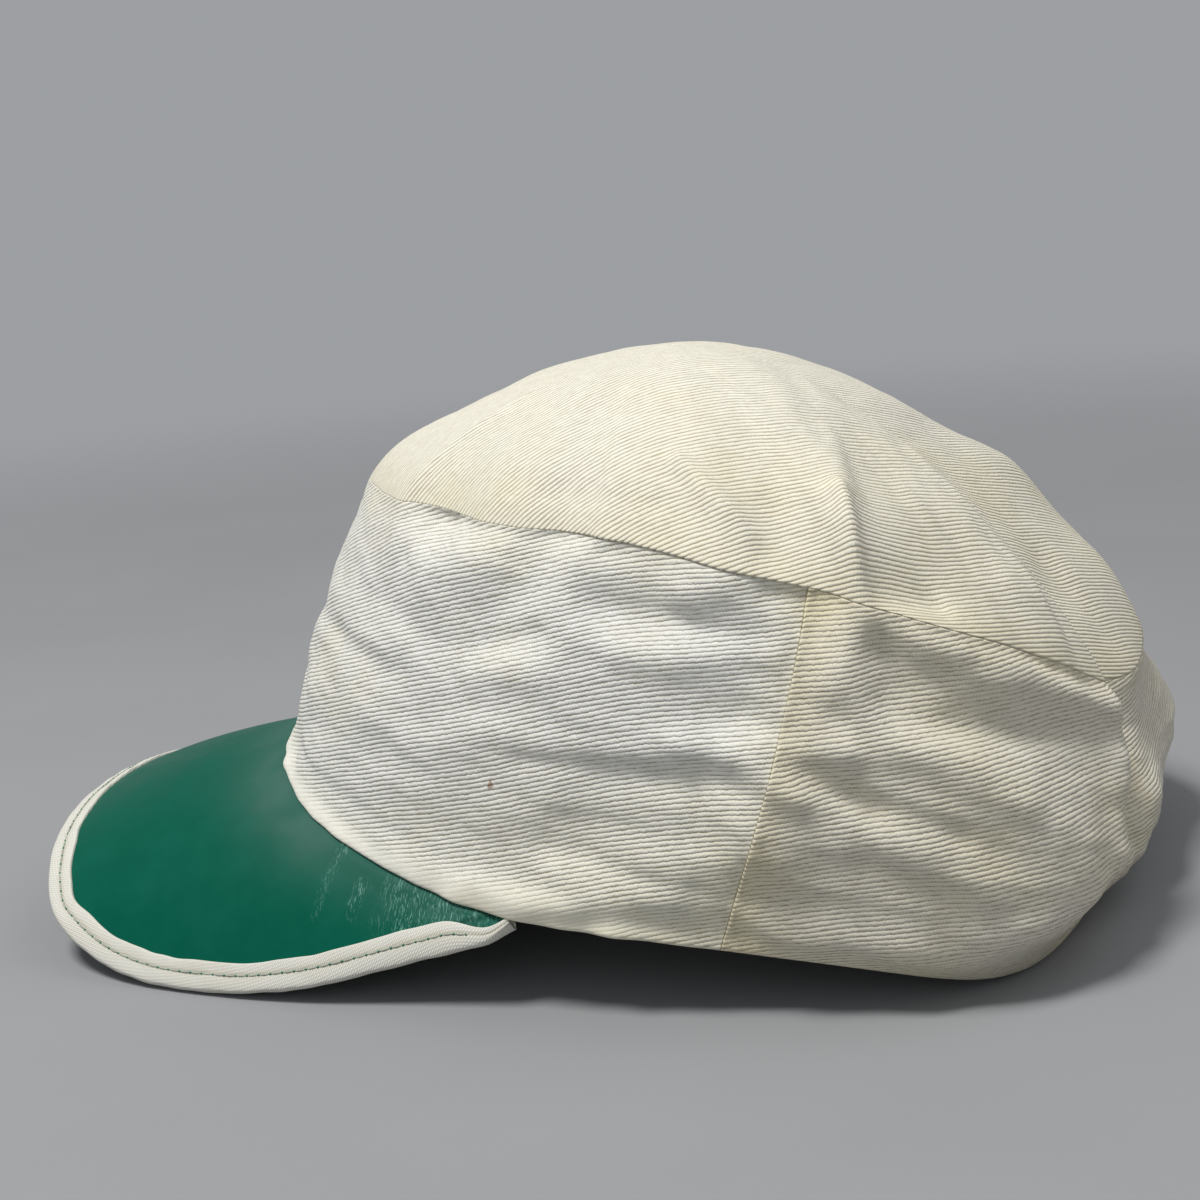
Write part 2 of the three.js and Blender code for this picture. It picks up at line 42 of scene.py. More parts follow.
# ---- sizes, in millimetres ---------------------------------------------------------------
CLOTH = 1.6               # wall of the cloth with its seam allowance
HEM_CLOTH = 2.4           # wall at the turned hem
HEM_LIP = 1.0
GAP = 0.3
SHEET = 1.8               # peak board with its vinyl face
TAPE = 0.8
TAPE_WIDE = 7.0
PEAK_SPREAD = 75
SIDE_SEAM = dict(hem=97.5, top=111)
APEX = np.array([0, 20, 134.2])
FALL = dict(front=1.72, side=2.15, rear=2.02)
SAG = 0.22                # how much sooner the top falls behind the right ear
CENTRE = np.array([0.51, 4.92, 0.0])
TOP_ROLL = 4.0
RIB = 1.05                # pitch of the twill's ribs
STEP = 1.0                # spacing of the fine meshes

# deg, hem x y z, seam x y z, swell, puff: one row for every 15 degrees from front to rear
BAND = np.array([
    [0,   0, -83.5, 41.5,   0, -54.5, 108.0, 3.5, 0],
    [15,  22, -79.5, 39.0,  17, -52.0, 108.5, 3.5, 0],
    [30,  43, -68.0, 34.5,  32, -45.5, 108.0, 3.0, 0],
    [45,  60, -49.0, 29.0,  47, -34.5, 107.3, 3.0, 0],
    [60,  72, -26.0, 23.3,  60, -17.0, 105.2, 3.5, 0],
    [75,  80, -3.0, 20.3,   69, 5.0, 103.0, 4.0, 0],
    [90,  83, 23.5, 17.2,   75, 28.0, 99.5, 4.5, 0.5],
    [105, 82, 49.0, 12.8,   78, 51.0, 93.0, 6.0, 1.5],
    [120, 77, 73.5, 7.2,    76, 71.0, 86.5, 8.0, 3],
    [135, 66, 92.5, 1.5,    67, 90.5, 77.5, 11.0, 5],
    [150, 48, 104.5, 0,     50, 108.0, 67.0, 14.0, 7],
    [165, 25, 111.5, 0,     27, 119.0, 55.0, 15.0, 6],
    [180, 0, 113.5, 0,      0, 121.0, 50.0, 13.0, 4],
])
FLAT_HEM_FROM = 148

# at, edge x y z: outer edge of the bound peak from its middle to its corner
PEAK = np.array([
    [0.00, 0, -145.0, 24.2],
    [0.15, 22, -143.5, 23.2],
    [0.30, 42, -139.0, 18.7],
    [0.45, 58, -130.0, 10.1],
    [0.60, 69, -110.0, 2.3],
    [0.72, 75, -87.0, 0.5],
    [0.84, 79, -60.0, 3.3],
    [0.92, 80, -33.0, 10.3],
    [1.00, 81, -7.0, 17.2],
])

# Folds: line of the fold as (degrees round, share up the band or out over the top), or on the plan of
# the top as (x, y) mm from its apex; half width on its upper (left) and lower (right) side, height in
# mm (below zero is a valley), sharpness (2 is round, near 1 is a crease).
FOLDS = [
    # rear: two lobes of the top and band with a valley between them
    ("band", [(-166, 1.05), (-150, 0.60)], 26, 26, 10, 2),
    ("top", [(-155, 0.98), (-155, 0.78)], 15, 15, 8, 2),
    ("top", [(180, 0.95), (180, 0.55)], 5, 5, -2.5, 2),
    ("plan", [(-14.0, 82.0), (-8.0, 109.0), (-4.0, 128.0), (5.0, 140.0)], 6, 6, -1.8, 2),
    ("band", [(172.0, 0.99), (171.0, 0.76), (167.0, 0.54), (163.0, 0.36)], 7, 8, -6.5, 2),
    ("band", [(162.0, 0.93), (161.0, 0.76), (156.0, 0.55), (152.0, 0.38)], 5, 5, 2.2, 2),
    ("band", [(126.0, 0.95), (144.0, 0.92), (160.0, 0.90)], 4.5, 5, 1.7, 2),
    ("top", [(124.0, 0.955), (144.0, 0.95), (158.0, 0.94)], 3.5, 4, -1.3, 2),
    # pressed line along the rear of the top, with a low ridge beside it
    ("plan", [(2.0, 62.0), (4.0, 80.0), (3.5, 96.0), (3.0, 109.0), (5.0, 118.0), (9.0, 125.0), (13.0, 130.0), (18.0, 134.5)], 1.3, 1.3, -0.60, 2),
    ("plan", [(5.0, 66.0), (7.0, 82.0), (6.5, 97.0), (6.5, 109.0), (9.0, 117.0), (13.0, 124.0)], 2.2, 2.2, 0.40, 2),
    # left side of the top
    ("plan", [(49.0, -52.9), (62.0, -13.9)], 2.8, 2.8, -0.44, 2),
    ("plan", [(62.6, -19.6), (74.8, 33.0)], 2.2, 2.2, -0.79, 2),
    ("plan", [(62.4, -5.6), (52.6, 2.2)], 3.9, 3.9, -0.56, 2),
    ("plan", [(59.2, 11.6), (73.0, 27.3)], 2.4, 2.4, 2.29, 2),
    ("plan", [(45.7, 17.7), (24.0, 37.8)], 4.5, 4.5, 0.52, 2),
    ("plan", [(55.3, 28.2), (28.3, 66.9)], 9.0, 9.0, -1.42, 2),
    ("plan", [(68.8, 31.1), (72.0, 32.4)], 5.6, 5.6, -2.60, 2),
    ("plan", [(29.9, 31.3), (71.9, 48.8)], 5.4, 5.4, 1.77, 2),
    ("plan", [(49.0, 42.6), (67.1, 50.7)], 7.0, 7.0, 1.97, 2),
    ("plan", [(59.6, 43.5), (74.3, 48.0)], 2.2, 2.2, 3.20, 2),
    ("plan", [(85.0, 43.8), (40.0, 46.5)], 3.6, 3.6, 2.01, 2),
    ("plan", [(51.5, 50.0), (35.4, 71.9)], 4.9, 4.9, -0.91, 2),
    ("plan", [(74.0, 53.1), (65.3, 71.2)], 2.2, 2.2, -2.36, 2),
    ("plan", [(74.5, 55.8), (66.2, 66.6)], 4.8, 4.8, -2.31, 2),
    ("plan", [(73.9, 56.0), (44.8, 95.4)], 6.6, 6.6, -2.38, 2),
    ("plan", [(30.6, 56.4), (66.6, 73.6)], 9.0, 9.0, -1.11, 2),
    ("plan", [(52.9, 74.3), (33.8, 107.3)], 7.5, 7.5, -1.50, 2),
    ("plan", [(21.3, 85.4), (38.3, 123.3)], 4.7, 4.7, 2.51, 2),
    ("plan", [(29.2, 87.3), (44.8, 89.2)], 9.0, 9.0, 1.17, 2),
    ("plan", [(39.7, 97.0), (45.8, 118.4)], 9.0, 9.0, 2.69, 2),
    # small puckers under the seam at the front corner
    ("band", [(46.5, 0.99), (49.0, 0.86)], 1.8, 1.8, -0.8, 2),
    ("band", [(51.0, 0.95), (57.0, 0.96)], 1.3, 2.2, -0.8, 2),
    ("band", [(70.0, 0.965), (75.5, 0.98)], 1.3, 2.0, -0.7, 2),
    ("band", [(82.0, 0.965), (85.5, 0.98)], 1.3, 2.0, -0.6, 2),
    ("band", [(-47.0, 0.99), (-49.0, 0.88)], 1.8, 1.8, -0.8, 2),
    ("band", [(-55.0, 0.96), (-60.0, 0.97)], 1.3, 2.2, -0.8, 2),
    # left side of the band, from front to rear
    ("band", [(-19.0, 0.129), (78.7, 0.107)], 2.2, 2.2, -0.46, 2),
    ("band", [(5.2, 0.551), (50.8, 0.557)], 3.0, 3.0, -1.06, 2),
    ("band", [(40.9, 0.915), (63.3, 1.028)], 5.6, 5.6, -0.52, 2),
    ("band", [(47.7, 1.029), (55.7, 0.946)], 4.2, 4.2, -1.60, 2),
    ("band", [(49.2, 0.974), (79.9, 1.001)], 2.2, 2.2, -1.60, 2),
    ("band", [(52.1, 0.931), (59.0, 1.015)], 4.0, 4.0, -1.37, 2),
    ("band", [(49.5, 1.017), (70.2, 0.925)], 2.4, 2.4, -0.58, 2),
    ("band", [(46.0, 0.913), (62.4, 0.935)], 6.9, 6.9, 1.13, 2),
    ("band", [(54.1, 0.838), (68.9, 0.914)], 5.6, 5.6, 1.18, 2),
    ("band", [(48.9, 0.720), (58.3, 0.678)], 3.9, 3.9, -0.76, 2),
    ("band", [(44.3, 0.433), (47.6, 0.610)], 9.0, 9.0, 0.42, 2),
    ("band", [(52.4, 0.384), (61.3, 0.432)], 3.0, 3.0, 0.44, 2),
    ("band", [(52.5, 0.120), (99.3, 0.493)], 6.8, 6.8, -2.05, 2),
    ("band", [(51.5, 0.089), (71.0, 0.270)], 6.8, 6.8, 1.90, 2),
    ("band", [(48.8, -0.073), (101.3, 0.322)], 5.9, 5.9, 2.08, 2),
    ("band", [(43.2, -0.194), (91.8, 0.142)], 4.8, 4.8, 3.20, 2),
    ("band", [(64.1, 0.678), (74.3, 0.961)], 5.3, 5.3, -1.35, 2),
    ("band", [(66.8, 0.700), (74.0, 0.754)], 2.4, 2.4, -0.85, 2),
    ("band", [(64.4, 0.609), (76.2, 0.676)], 3.9, 3.9, 1.34, 2),
    ("band", [(65.3, 0.456), (95.0, 0.786)], 5.3, 5.3, 0.81, 2),
    ("band", [(58.5, 0.517), (87.1, 0.533)], 2.2, 2.2, -0.38, 2),
    ("band", [(64.9, 0.161), (98.2, 0.035)], 9.0, 9.0, -1.36, 2),
    ("band", [(75.0, 0.944), (81.0, 0.867)], 4.3, 4.3, -0.70, 2),
    ("band", [(80.5, 0.831), (103.5, 0.839)], 3.6, 3.6, -1.01, 2),
    ("band", [(78.1, 0.905), (79.9, 0.754)], 4.9, 4.9, 1.57, 2),
    ("band", [(82.1, 0.526), (89.1, 0.507)], 5.1, 5.1, 1.06, 2),
    ("band", [(73.0, 0.430), (90.0, 0.451)], 2.3, 2.3, -0.60, 2),
    ("band", [(76.5, 0.334), (92.7, 0.378)], 3.8, 3.8, 0.90, 2),
    ("band", [(75.8, 0.474), (79.1, 0.134)], 3.7, 3.7, 0.47, 2),
    ("band", [(81.3, 0.221), (97.2, 0.320)], 5.5, 5.5, -2.02, 2),
    ("band", [(76.4, 0.202), (94.3, 0.162)], 3.5, 3.5, -1.44, 2),
    ("band", [(94.1, 0.918), (98.3, 0.969)], 4.4, 4.4, 2.07, 2),
    ("band", [(86.5, 0.920), (97.1, 0.838)], 7.6, 7.6, -0.84, 2),
    ("band", [(85.4, 0.741), (105.3, 0.823)], 3.3, 3.3, 1.46, 2),
    ("band", [(93.7, 0.535), (114.2, 0.625)], 3.6, 3.6, 2.04, 2),
    ("band", [(105.2, 0.969), (115.1, 0.988)], 2.9, 2.9, -1.73, 2),
    ("band", [(96.9, 0.626), (112.3, 1.003)], 5.9, 5.9, -0.84, 2),
    ("band", [(101.5, 0.652), (117.1, 0.481)], 3.9, 3.9, -1.41, 2),
    ("band", [(99.8, 0.533), (107.6, 0.488)], 3.4, 3.4, 1.84, 2),
    ("band", [(109.4, 0.519), (127.2, 0.453)], 3.1, 3.1, -1.54, 2),
    ("band", [(99.4, 0.401), (111.7, 0.535)], 5.5, 5.5, 1.06, 2),
    ("band", [(101.1, 0.206), (129.2, 0.177)], 5.7, 5.7, -1.28, 2),
    ("band", [(97.3, 0.150), (109.8, 0.048)], 5.6, 5.6, 1.15, 2),
    ("band", [(112.8, 0.958), (121.5, 0.880)], 5.8, 5.8, -1.33, 2),
    ("band", [(119.7, 0.761), (135.0, 0.929)], 3.6, 3.6, -0.91, 2),
    ("band", [(110.4, 0.698), (119.1, 0.966)], 4.4, 4.4, 1.89, 2),
    ("band", [(120.7, 0.750), (136.5, 0.777)], 4.3, 4.3, -1.48, 2),
    ("band", [(121.7, 0.717), (146.4, 0.750)], 2.9, 2.9, -1.41, 2),
    ("band", [(117.1, 0.737), (136.0, 0.598)], 5.8, 5.8, 1.94, 2),
    ("band", [(120.2, 0.665), (128.9, 0.656)], 5.7, 5.7, 1.43, 2),
    ("band", [(110.9, 0.309), (123.1, 0.298)], 4.8, 4.8, -1.33, 2),
    ("band", [(116.8, 0.331), (125.8, 0.263)], 3.9, 3.9, -0.90, 2),
    ("band", [(120.2, 0.057), (134.7, -0.212)], 9.0, 9.0, 3.12, 2),
    ("band", [(125.8, 0.997), (160.8, 0.987)], 2.9, 2.9, -1.00, 2),
    ("band", [(133.8, 0.916), (152.9, 0.853)], 5.4, 5.4, 0.95, 2),
    ("band", [(134.1, 0.740), (139.1, 0.870)], 4.9, 4.9, 0.71, 2),
    ("band", [(130.7, 0.558), (140.1, 0.510)], 4.2, 4.2, 0.87, 2),
    ("band", [(132.2, 0.400), (140.2, 0.279)], 8.3, 8.3, -2.26, 2),
    ("band", [(130.0, 0.134), (160.8, 0.389)], 5.1, 5.1, 2.48, 2),
    ("band", [(141.3, 1.029), (159.2, 0.939)], 3.8, 3.8, -1.14, 2),
    ("band", [(145.9, 0.986), (149.6, 0.966)], 3.4, 3.4, -1.00, 2),
    ("band", [(149.5, 0.743), (159.0, 0.763)], 3.2, 3.2, -0.65, 2),
    ("band", [(145.4, 0.645), (166.1, 0.784)], 9.0, 9.0, 1.18, 2),
    ("band", [(150.5, 0.335), (154.2, 0.489)], 9.0, 9.0, -2.12, 2),
    ("band", [(138.6, 0.284), (143.0, 0.305)], 5.5, 5.5, 1.41, 2),
    # broad hollows and swellings of the top and of the rear, along its outline
    ("plan", [(14.7, -64.5), (15.7, -64.5)], 16, 16, 0.8, 2),
    ("plan", [(6.4, -41.7), (7.4, -41.7)], 16, 16, -1.2, 2),
    ("plan", [(-8.2, -29.5), (-7.2, -29.5)], 16, 16, 2.5, 2),
    ("plan", [(-11.3, -12.6), (-10.3, -12.6)], 16, 16, 1.4, 2),
    ("plan", [(-14.5, 24.0), (-13.5, 24.0)], 16, 16, -0.8, 2),
    ("plan", [(-25.8, 43.3), (-24.8, 43.3)], 16, 16, 1.6, 2),
    ("plan", [(-17.6, 63.8), (-16.6, 63.8)], 16, 16, 1.7, 2),
    ("plan", [(-25.8, 86.6), (-24.8, 86.6)], 16, 16, 1.4, 2),
    ("plan", [(-33.8, 104.5), (-32.8, 104.5)], 16, 16, -1.0, 2),
    ("plan", [(-36.0, 121.4), (-35.0, 121.4)], 16, 16, -5.8, 2),
    ("plan", [(-31.2, 138.0), (-30.2, 138.0)], 16, 16, 3.1, 2),
    ("band", [(-160.9, 0.62), (-160.1, 0.62)], 16, 16, 5.0, 2),
    ("band", [(-165.4, 0.38), (-164.6, 0.38)], 16, 16, -0.8, 2),
    ("band", [(175.1, 0.46), (175.9, 0.46)], 16, 16, 0.7, 2),
    ("band", [(161.6, 0.40), (162.4, 0.40)], 16, 16, -6.2, 2),
    ("band", [(154.1, 0.16), (154.9, 0.16)], 16, 16, -5.9, 2),
    # right side, like the left with folds in other places
    ("band", [(-46, 0.74), (-62, 0.70), (-98, 0.74)], 6, 6, -1.7, 2),
    ("band", [(-70, 0.50), (-86, 0.455), (-102, 0.44)], 6, 3.5, -1.8, 1.6),
    ("band", [(-66, 0.59), (-86, 0.56), (-100, 0.57)], 5, 5, 1.5, 2),
    ("band", [(-60, 0.86), (-80, 0.89), (-104, 0.87)], 5, 5, 1.0, 2),
    ("band", [(-112, 0.66), (-124, 0.70), (-138, 0.72)], 6, 4, -2.4, 1.8),
    ("band", [(-110, 0.52), (-122, 0.45), (-136, 0.42)], 6, 3.5, -2.6, 1.7),
    ("band", [(-112, 0.59), (-126, 0.56), (-140, 0.55)], 5, 5, 1.8, 2),
    ("band", [(-108, 0.30), (-130, 0.26)], 6, 6, 1.8, 2),
    ("band", [(-104, 0.38), (-116, 0.36)], 4, 4, -1.5, 1.8),
    ("band", [(-50, 1.0), (-49, 0.92)], 2.2, 2.2, -0.8, 1.6),
    ("band", [(-78, 1.0), (-76, 0.90)], 2.4, 2.4, -0.8, 1.6),
    ("band", [(-118, 0.99), (-119, 0.82)], 5, 5, -1.8, 2),
    ("top", [(-118, 0.99), (-122, 0.84), (-130, 0.68)], 7, 7, -1.6, 2),
    ("top", [(-112, 0.99), (-114, 0.84), (-122, 0.70)], 5, 5, 1.4, 2),
]

# ---- vector helpers ------------------------------------------------------------------------
def unit(v):
    return v / np.maximum(np.linalg.norm(v, axis=-1, keepdims=True), 1e-12)


def lerp(a, b, t):
    return a + (b - a) * t


def smooth(a, b, x):
    t = np.clip((np.asarray(x, float) - a) / (b - a), 0, 1)
    return t * t * (3 - 2 * t)


def turn(a):
    return (np.asarray(a, float) + 180) % 360 - 180


def series(values, odd):
    n = len(values) - 1
    j = np.arange(n + 1)
    c = []
    for k in range(n + 1):
        w = np.ones(n + 1)
        if not odd:
            w[0] = w[-1] = 0.5
        s = np.sum(w * values * (np.sin(np.pi * j * k / n) if odd else np.cos(np.pi * j * k / n)))
        c.append(s * 2 / n * (0.5 if (not odd and k in (0, n)) else 1))
    c = np.array(c)

    def f(deg):
        a = np.asarray(deg, float)[..., None] * np.arange(n + 1) * rad
        return (np.sin(a) if odd else np.cos(a)) @ c
    return f


hem_x, hem_y, hem_z = series(BAND[:, 1], True), series(BAND[:, 2], False), series(BAND[:, 3], False)
seam_x, seam_y, seam_z = series(BAND[:, 4], True), series(BAND[:, 5], False), series(BAND[:, 6], False)
swell, puff = series(BAND[:, 7], False), series(BAND[:, 8], False)


def hem(deg):
    a = np.abs(turn(deg))
    z = np.maximum(0, hem_z(deg)) * (1 - smooth(FLAT_HEM_FROM - 10, FLAT_HEM_FROM, a))
    return np.stack([hem_x(deg), hem_y(deg), z], -1)


def seam(deg):
    return np.stack([seam_x(deg), seam_y(deg), seam_z(deg)], -1)


def outward(deg):
    d = hem(deg + 1) - hem(deg - 1)
    return unit(np.stack([d[..., 1], -d[..., 0], 0 * d[..., 0]], -1))


def band_measure(deg, t):
    return np.stack([deg * 1.45, t * 78.0 + 0 * deg], -1)


def top_measure(deg, s):
    e = seam(deg)
    k = 1 + 0.6 * smooth(120, 180, np.abs(turn(deg)))
    return np.stack([(e[..., 0] - APEX[0]) * s, (e[..., 1] - APEX[1]) * s * k], -1)


def line_through(points, n=9):
    """A smooth line through a few points, n steps for each stretch."""
    p = np.array(points, float)
    if len(p) == 2:
        return p[0] + (p[1] - p[0]) * np.linspace(0, 1, 5)[:, None]
    q = np.vstack([2 * p[0] - p[1], p, 2 * p[-1] - p[-2]])
    out = []
    for i in range(1, len(q) - 2):
        for t in np.linspace(0, 1, n, endpoint=(i == len(q) - 3)):
            a, b, c, d = q[i - 1], q[i], q[i + 1], q[i + 2]
            out.append(0.5 * (2 * b + (c - a) * t + (2 * a - 5 * b + 4 * c - d) * t * t + (3 * b - a - 3 * c + d) * t ** 3))
    return np.array(out)


def fold_height(on, deg, t, table=None):
    """Height in mm of all folds of one piece at the given places."""
    measure = band_measure if on == "band" else top_measure
    h = np.zeros(np.broadcast(deg, t).shape)
    for where, points, up, down, rise, sharp in (table or FOLDS):
        if (where == "band") != (on == "band"):
            continue
        line = line_through(points)
        if where == "plan":
            p, q = measure(deg, t), line
        else:
            mid = line[:, 0].mean()
            p = measure(mid + turn(deg - mid), t)
            q = measure(line[:, 0], line[:, 1])
        seg = q[1:] - q[:-1]
        length = np.linalg.norm(seg, axis=-1)
        start = np.concatenate([[0], np.cumsum(length)])
        near = np.full(h.shape, 1e9)
        side = np.zeros(h.shape)
        for k in range(len(seg)):
            rel = p - q[k]
            s = np.clip((rel @ seg[k]) / max(length[k] ** 2, 1e-9), 0, 1)
            d = rel - s[..., None] * seg[k]
            dist = np.hypot(d[..., 0], d[..., 1])
            cross = seg[k, 0] * rel[..., 1] - seg[k, 1] * rel[..., 0]
            closer = dist < near
            near = np.where(closer, dist, near)
            side = np.where(closer, np.sign(cross), side)
        w = np.where(side >= 0, up, down)
        h += rise * np.exp(-(near / w) ** sharp)
    return h


def waves(a, b, seed, size, count=24, spread=0.5):
    """Gentle unevenness of cloth: a fixed sum of plane waves of about the given size in mm."""
    r = np.random.RandomState(seed)
    h = 0
    for _ in range(count):
        k = 2 * np.pi / (size * np.exp(r.uniform(-spread, spread)))
        t = r.uniform(0, 2 * np.pi)
        h = h + np.cos(k * (np.cos(t) * a + np.sin(t) * b) + r.uniform(0, 2 * np.pi))
    return h / math.sqrt(count / 2)


# ---- the cloth surfaces ---------------------------------------------------------------------
def band_face(deg, t, folds=True):
    deg, t = np.broadcast_arrays(np.asarray(deg, float), np.asarray(t, float))
    o, h = outward(deg), hem(deg)
    lip = HEM_LIP * np.exp(-((t / 0.05) ** 2)) * (1 - smooth(80, 110, np.abs(turn(deg))))
    out = swell(deg) * np.sin(np.pi * t) + puff(deg) * np.sin(2 * np.pi * t) + lip
    if folds:
        p = band_measure(deg, t)
        keep = smooth(0, 0.08, t)
        fine = 0.22 * waves(p[..., 0], p[..., 1] * 1.6, 3, 26) + 0.07 * waves(p[..., 0], p[..., 1] * 1.8, 4, 11)
        nape = smooth(152, 164, np.abs(turn(deg))) * np.exp(-((t - 0.02) / 0.34) ** 2)       # gathered by the elastic inside
        gather = nape * 0.55 * waves(p[..., 0], 0.12 * p[..., 1], 9, 7.0, 8, 0.25)
        out = out + keep * (fold_height("band", deg, t) + fine + gather)
    return h + (seam(deg) - h) * t[..., None] + o * out[..., None]


def top_face(deg, s, folds=True):
    deg, s = np.broadcast_arrays(np.asarray(deg, float), np.asarray(s, float))
    e, a = band_face(deg, np.ones_like(deg), folds), np.abs(turn(deg)) / 90
    p = np.where(a < 1, lerp(FALL["front"], FALL["side"], a), lerp(FALL["side"], FALL["rear"], a - 1))
    p = p - SAG * np.exp(-(turn(deg + 160) / 32) ** 2)
    z = APEX[2] - (APEX[2] - e[..., 2] - TOP_ROLL) * s ** p - TOP_ROLL * s ** 16
    P = np.stack([lerp(APEX[0], e[..., 0], s), lerp(APEX[1], e[..., 1], s), z], -1)
    if folds:
        o = unit(np.stack([P[..., 0] - APEX[0], P[..., 1] - APEX[1], 0 * z], -1))
        m = top_measure(deg, s)
        fine = 0.20 * waves(m[..., 0], m[..., 1], 7, 30) + 0.05 * waves(m[..., 0], m[..., 1], 8, 12)
        h = (fold_height("top", deg, s) * s * s + fine * smooth(0, 0.3, s)) * (1 - s ** 12)
        P = P + o * (0.6 * h)[..., None]
        P[..., 2] += 0.8 * h
    return P


def spaced(length, step, fine_first, fine_last):
    """Shares 0..1 along a length in mm, closer together at the ends."""
    near = np.array([0, .15, .35, .6, .9, 1.25, 1.7, 2.2, 2.9])
    a = near if fine_first else np.array([0.0])
    b = near if fine_last else np.array([0.0])
    inner = length - a[-1] - b[-1]
    n = max(2, int(round(inner / step)))
    d = np.concatenate([a[:-1], a[-1] + inner * np.arange(n + 1) / n, (length - b[:-1])[::-1] if len(b) > 1 else []])
    return d / length


def grid_normals(P, around=False):
    if around:
        du = np.roll(P, -1, 1) - np.roll(P, 1, 1)
    else:
        du = np.gradient(P, axis=1)
    dv = np.gradient(P, axis=0)
    return unit(np.cross(du, dv))


def soften(A, times, around=False):
    """Smooths a grid of vectors a little, over its rows and columns."""
    for _ in range(times):
        if around:
            A = (np.roll(A, 1, 1) + 2 * A + np.roll(A, -1, 1)) / 4
        else:
            B = np.concatenate([A[:, :1], A, A[:, -1:]], 1)
            A = (B[:, :-2] + 2 * B[:, 1:-1] + B[:, 2:]) / 4
        B = np.concatenate([A[:1], A, A[-1:]], 0)
        A = (B[:-2] + 2 * B[1:-1] + B[2:]) / 4
    return A


def roll(d, r):
    """How far a turned edge of radius r has gone in, at the distance d from the edge."""
    x = np.clip(1 - d / r, 0, 1)
    return r * (1 - np.sqrt(np.maximum(0, 1 - x * x)))


def lay_flat(P, along, around=False):
    """Millimetre coordinates on the cloth: the first runs along the given direction on the surface,
    the second across it, both as close to true length as the curved cloth lets them be."""
    N = grid_normals(P, around)
    along = unit(along - (along * N).sum(-1, keepdims=True) * N)
    across = np.cross(N, along)
    out = []
    for g in (along, across):
        if around:
            e1 = np.roll(P, -1, 1) - P
            d1 = ((np.roll(g, -1, 1) + g) * 0.5 * e1).sum(-1)
        else:
            e1 = P[:, 1:] - P[:, :-1]
            d1 = ((g[:, 1:] + g[:, :-1]) * 0.5 * e1).sum(-1)
        e0 = P[1:] - P[:-1]
        d0 = ((g[1:] + g[:-1]) * 0.5 * e0).sum(-1)
        w1 = 1 / np.maximum(np.linalg.norm(e1, axis=-1), 0.05)
        w0 = 1 / np.maximum(np.linalg.norm(e0, axis=-1), 0.05)

        def spread_back(a1, a0):
            r = np.zeros(P.shape[:2])
            if around:
                r += np.roll(a1, 1, 1) - a1
            else:
                r[:, 1:] += a1
                r[:, :-1] -= a1
            r[1:] += a0
            r[:-1] -= a0
            return r

        def apply(x):
            a1 = (np.roll(x, -1, 1) - x) if around else x[:, 1:] - x[:, :-1]
            return spread_back(w1 * a1, w0 * (x[1:] - x[:-1]))

        b = spread_back(w1 * d1, w0 * d0)
        x = np.zeros(P.shape[:2])
        mid = P.shape[1] // 2
        x += np.concatenate([[0], np.cumsum(d0[:, mid])])[:, None]
        if not around:
            x += np.concatenate([[0], np.cumsum(d1[P.shape[0] // 2])])[None, :]
        diag = spread_back(w1, w0) * 0
        dd = np.zeros(P.shape[:2])
        if around:
            dd += w1 + np.roll(w1, 1, 1)
        else:
            dd[:, 1:] += w1
            dd[:, :-1] += w1
        dd[1:] += w0
        dd[:-1] += w0
        r = b - apply(x)
        z = r / dd
        p = z.copy()
        rz = (r * z).sum()
        first = rz
        for _ in range(900):
            q = apply(p)
            a = rz / max((p * q).sum(), 1e-30)
            x += a * p
            r -= a * q
            z = r / dd
            new = (r * z).sum()
            if new < 1e-9 * max(first, 1e-30):
                break
            p = z + (new / rz) * p
            rz = new
        out.append(x - x.mean())
    return out


# ---- meshes ---------------------------------------------------------------------------------
def make_mesh(name, verts, faces, uv=None, marks=None, material=None, slots=None, face_slot=None):
    me = bpy.data.meshes.new(name)
    V = (np.asarray(verts, float) + CENTRE) * MM
    me.vertices.add(len(V))
    me.vertices.foreach_set("co", V.astype(np.float32).ravel())
    sizes = np.array([len(f) for f in faces], np.int32) if not isinstance(faces, np.ndarray) else np.full(len(faces), faces.shape[1], np.int32)
    flat = np.concatenate([np.asarray(f, np.int32).ravel() for f in faces]) if not isinstance(faces, np.ndarray) else faces.astype(np.int32).ravel()
    me.loops.add(len(flat))
    me.loops.foreach_set("vertex_index", flat)
    me.polygons.add(len(sizes))
    me.polygons.foreach_set("loop_start", np.concatenate([[0], np.cumsum(sizes)[:-1]]).astype(np.int32))
    me.polygons.foreach_set("loop_total", sizes)
    me.update(calc_edges=True)
    me.validate()
    me.polygons.foreach_set("use_smooth", np.ones(len(me.polygons), bool))
    if uv is not None:
        layer = me.uv_layers.new(name="cloth")
        idx = np.zeros(len(me.loops), np.int32)
        me.loops.foreach_get("vertex_index", idx)
        layer.data.foreach_set("uv", np.asarray(uv, np.float32)[idx].ravel())
    for key, values in (marks or {}).items():
        a = me.attributes.new(key, "FLOAT", "POINT")
        a.data.foreach_set("value", np.asarray(values, np.float32).ravel())
    ob = bpy.data.objects.new(name, me)
    bpy.context.scene.collection.objects.link(ob)
    for m in ([material] if not isinstance(material, (list, tuple)) else material):
        if m is not None:
            me.materials.append(m)
    if face_slot is not None:
        me.polygons.foreach_set("material_index", np.asarray(face_slot, np.int32))
    me.update()
    return ob


def grid_faces(rows, cols, base, around, flip):
    r = np.arange(rows - 1)[:, None]
    c = np.arange(cols if around else cols - 1)[None, :]
    n = (c + 1) % cols
    a, b = base + r * cols + c, base + r * cols + n
    d, e = base + (r + 1) * cols + c, base + (r + 1) * cols + n
    q = np.stack([a, b, e, d], -1).reshape(-1, 4)
    return q[:, ::-1] if flip else q


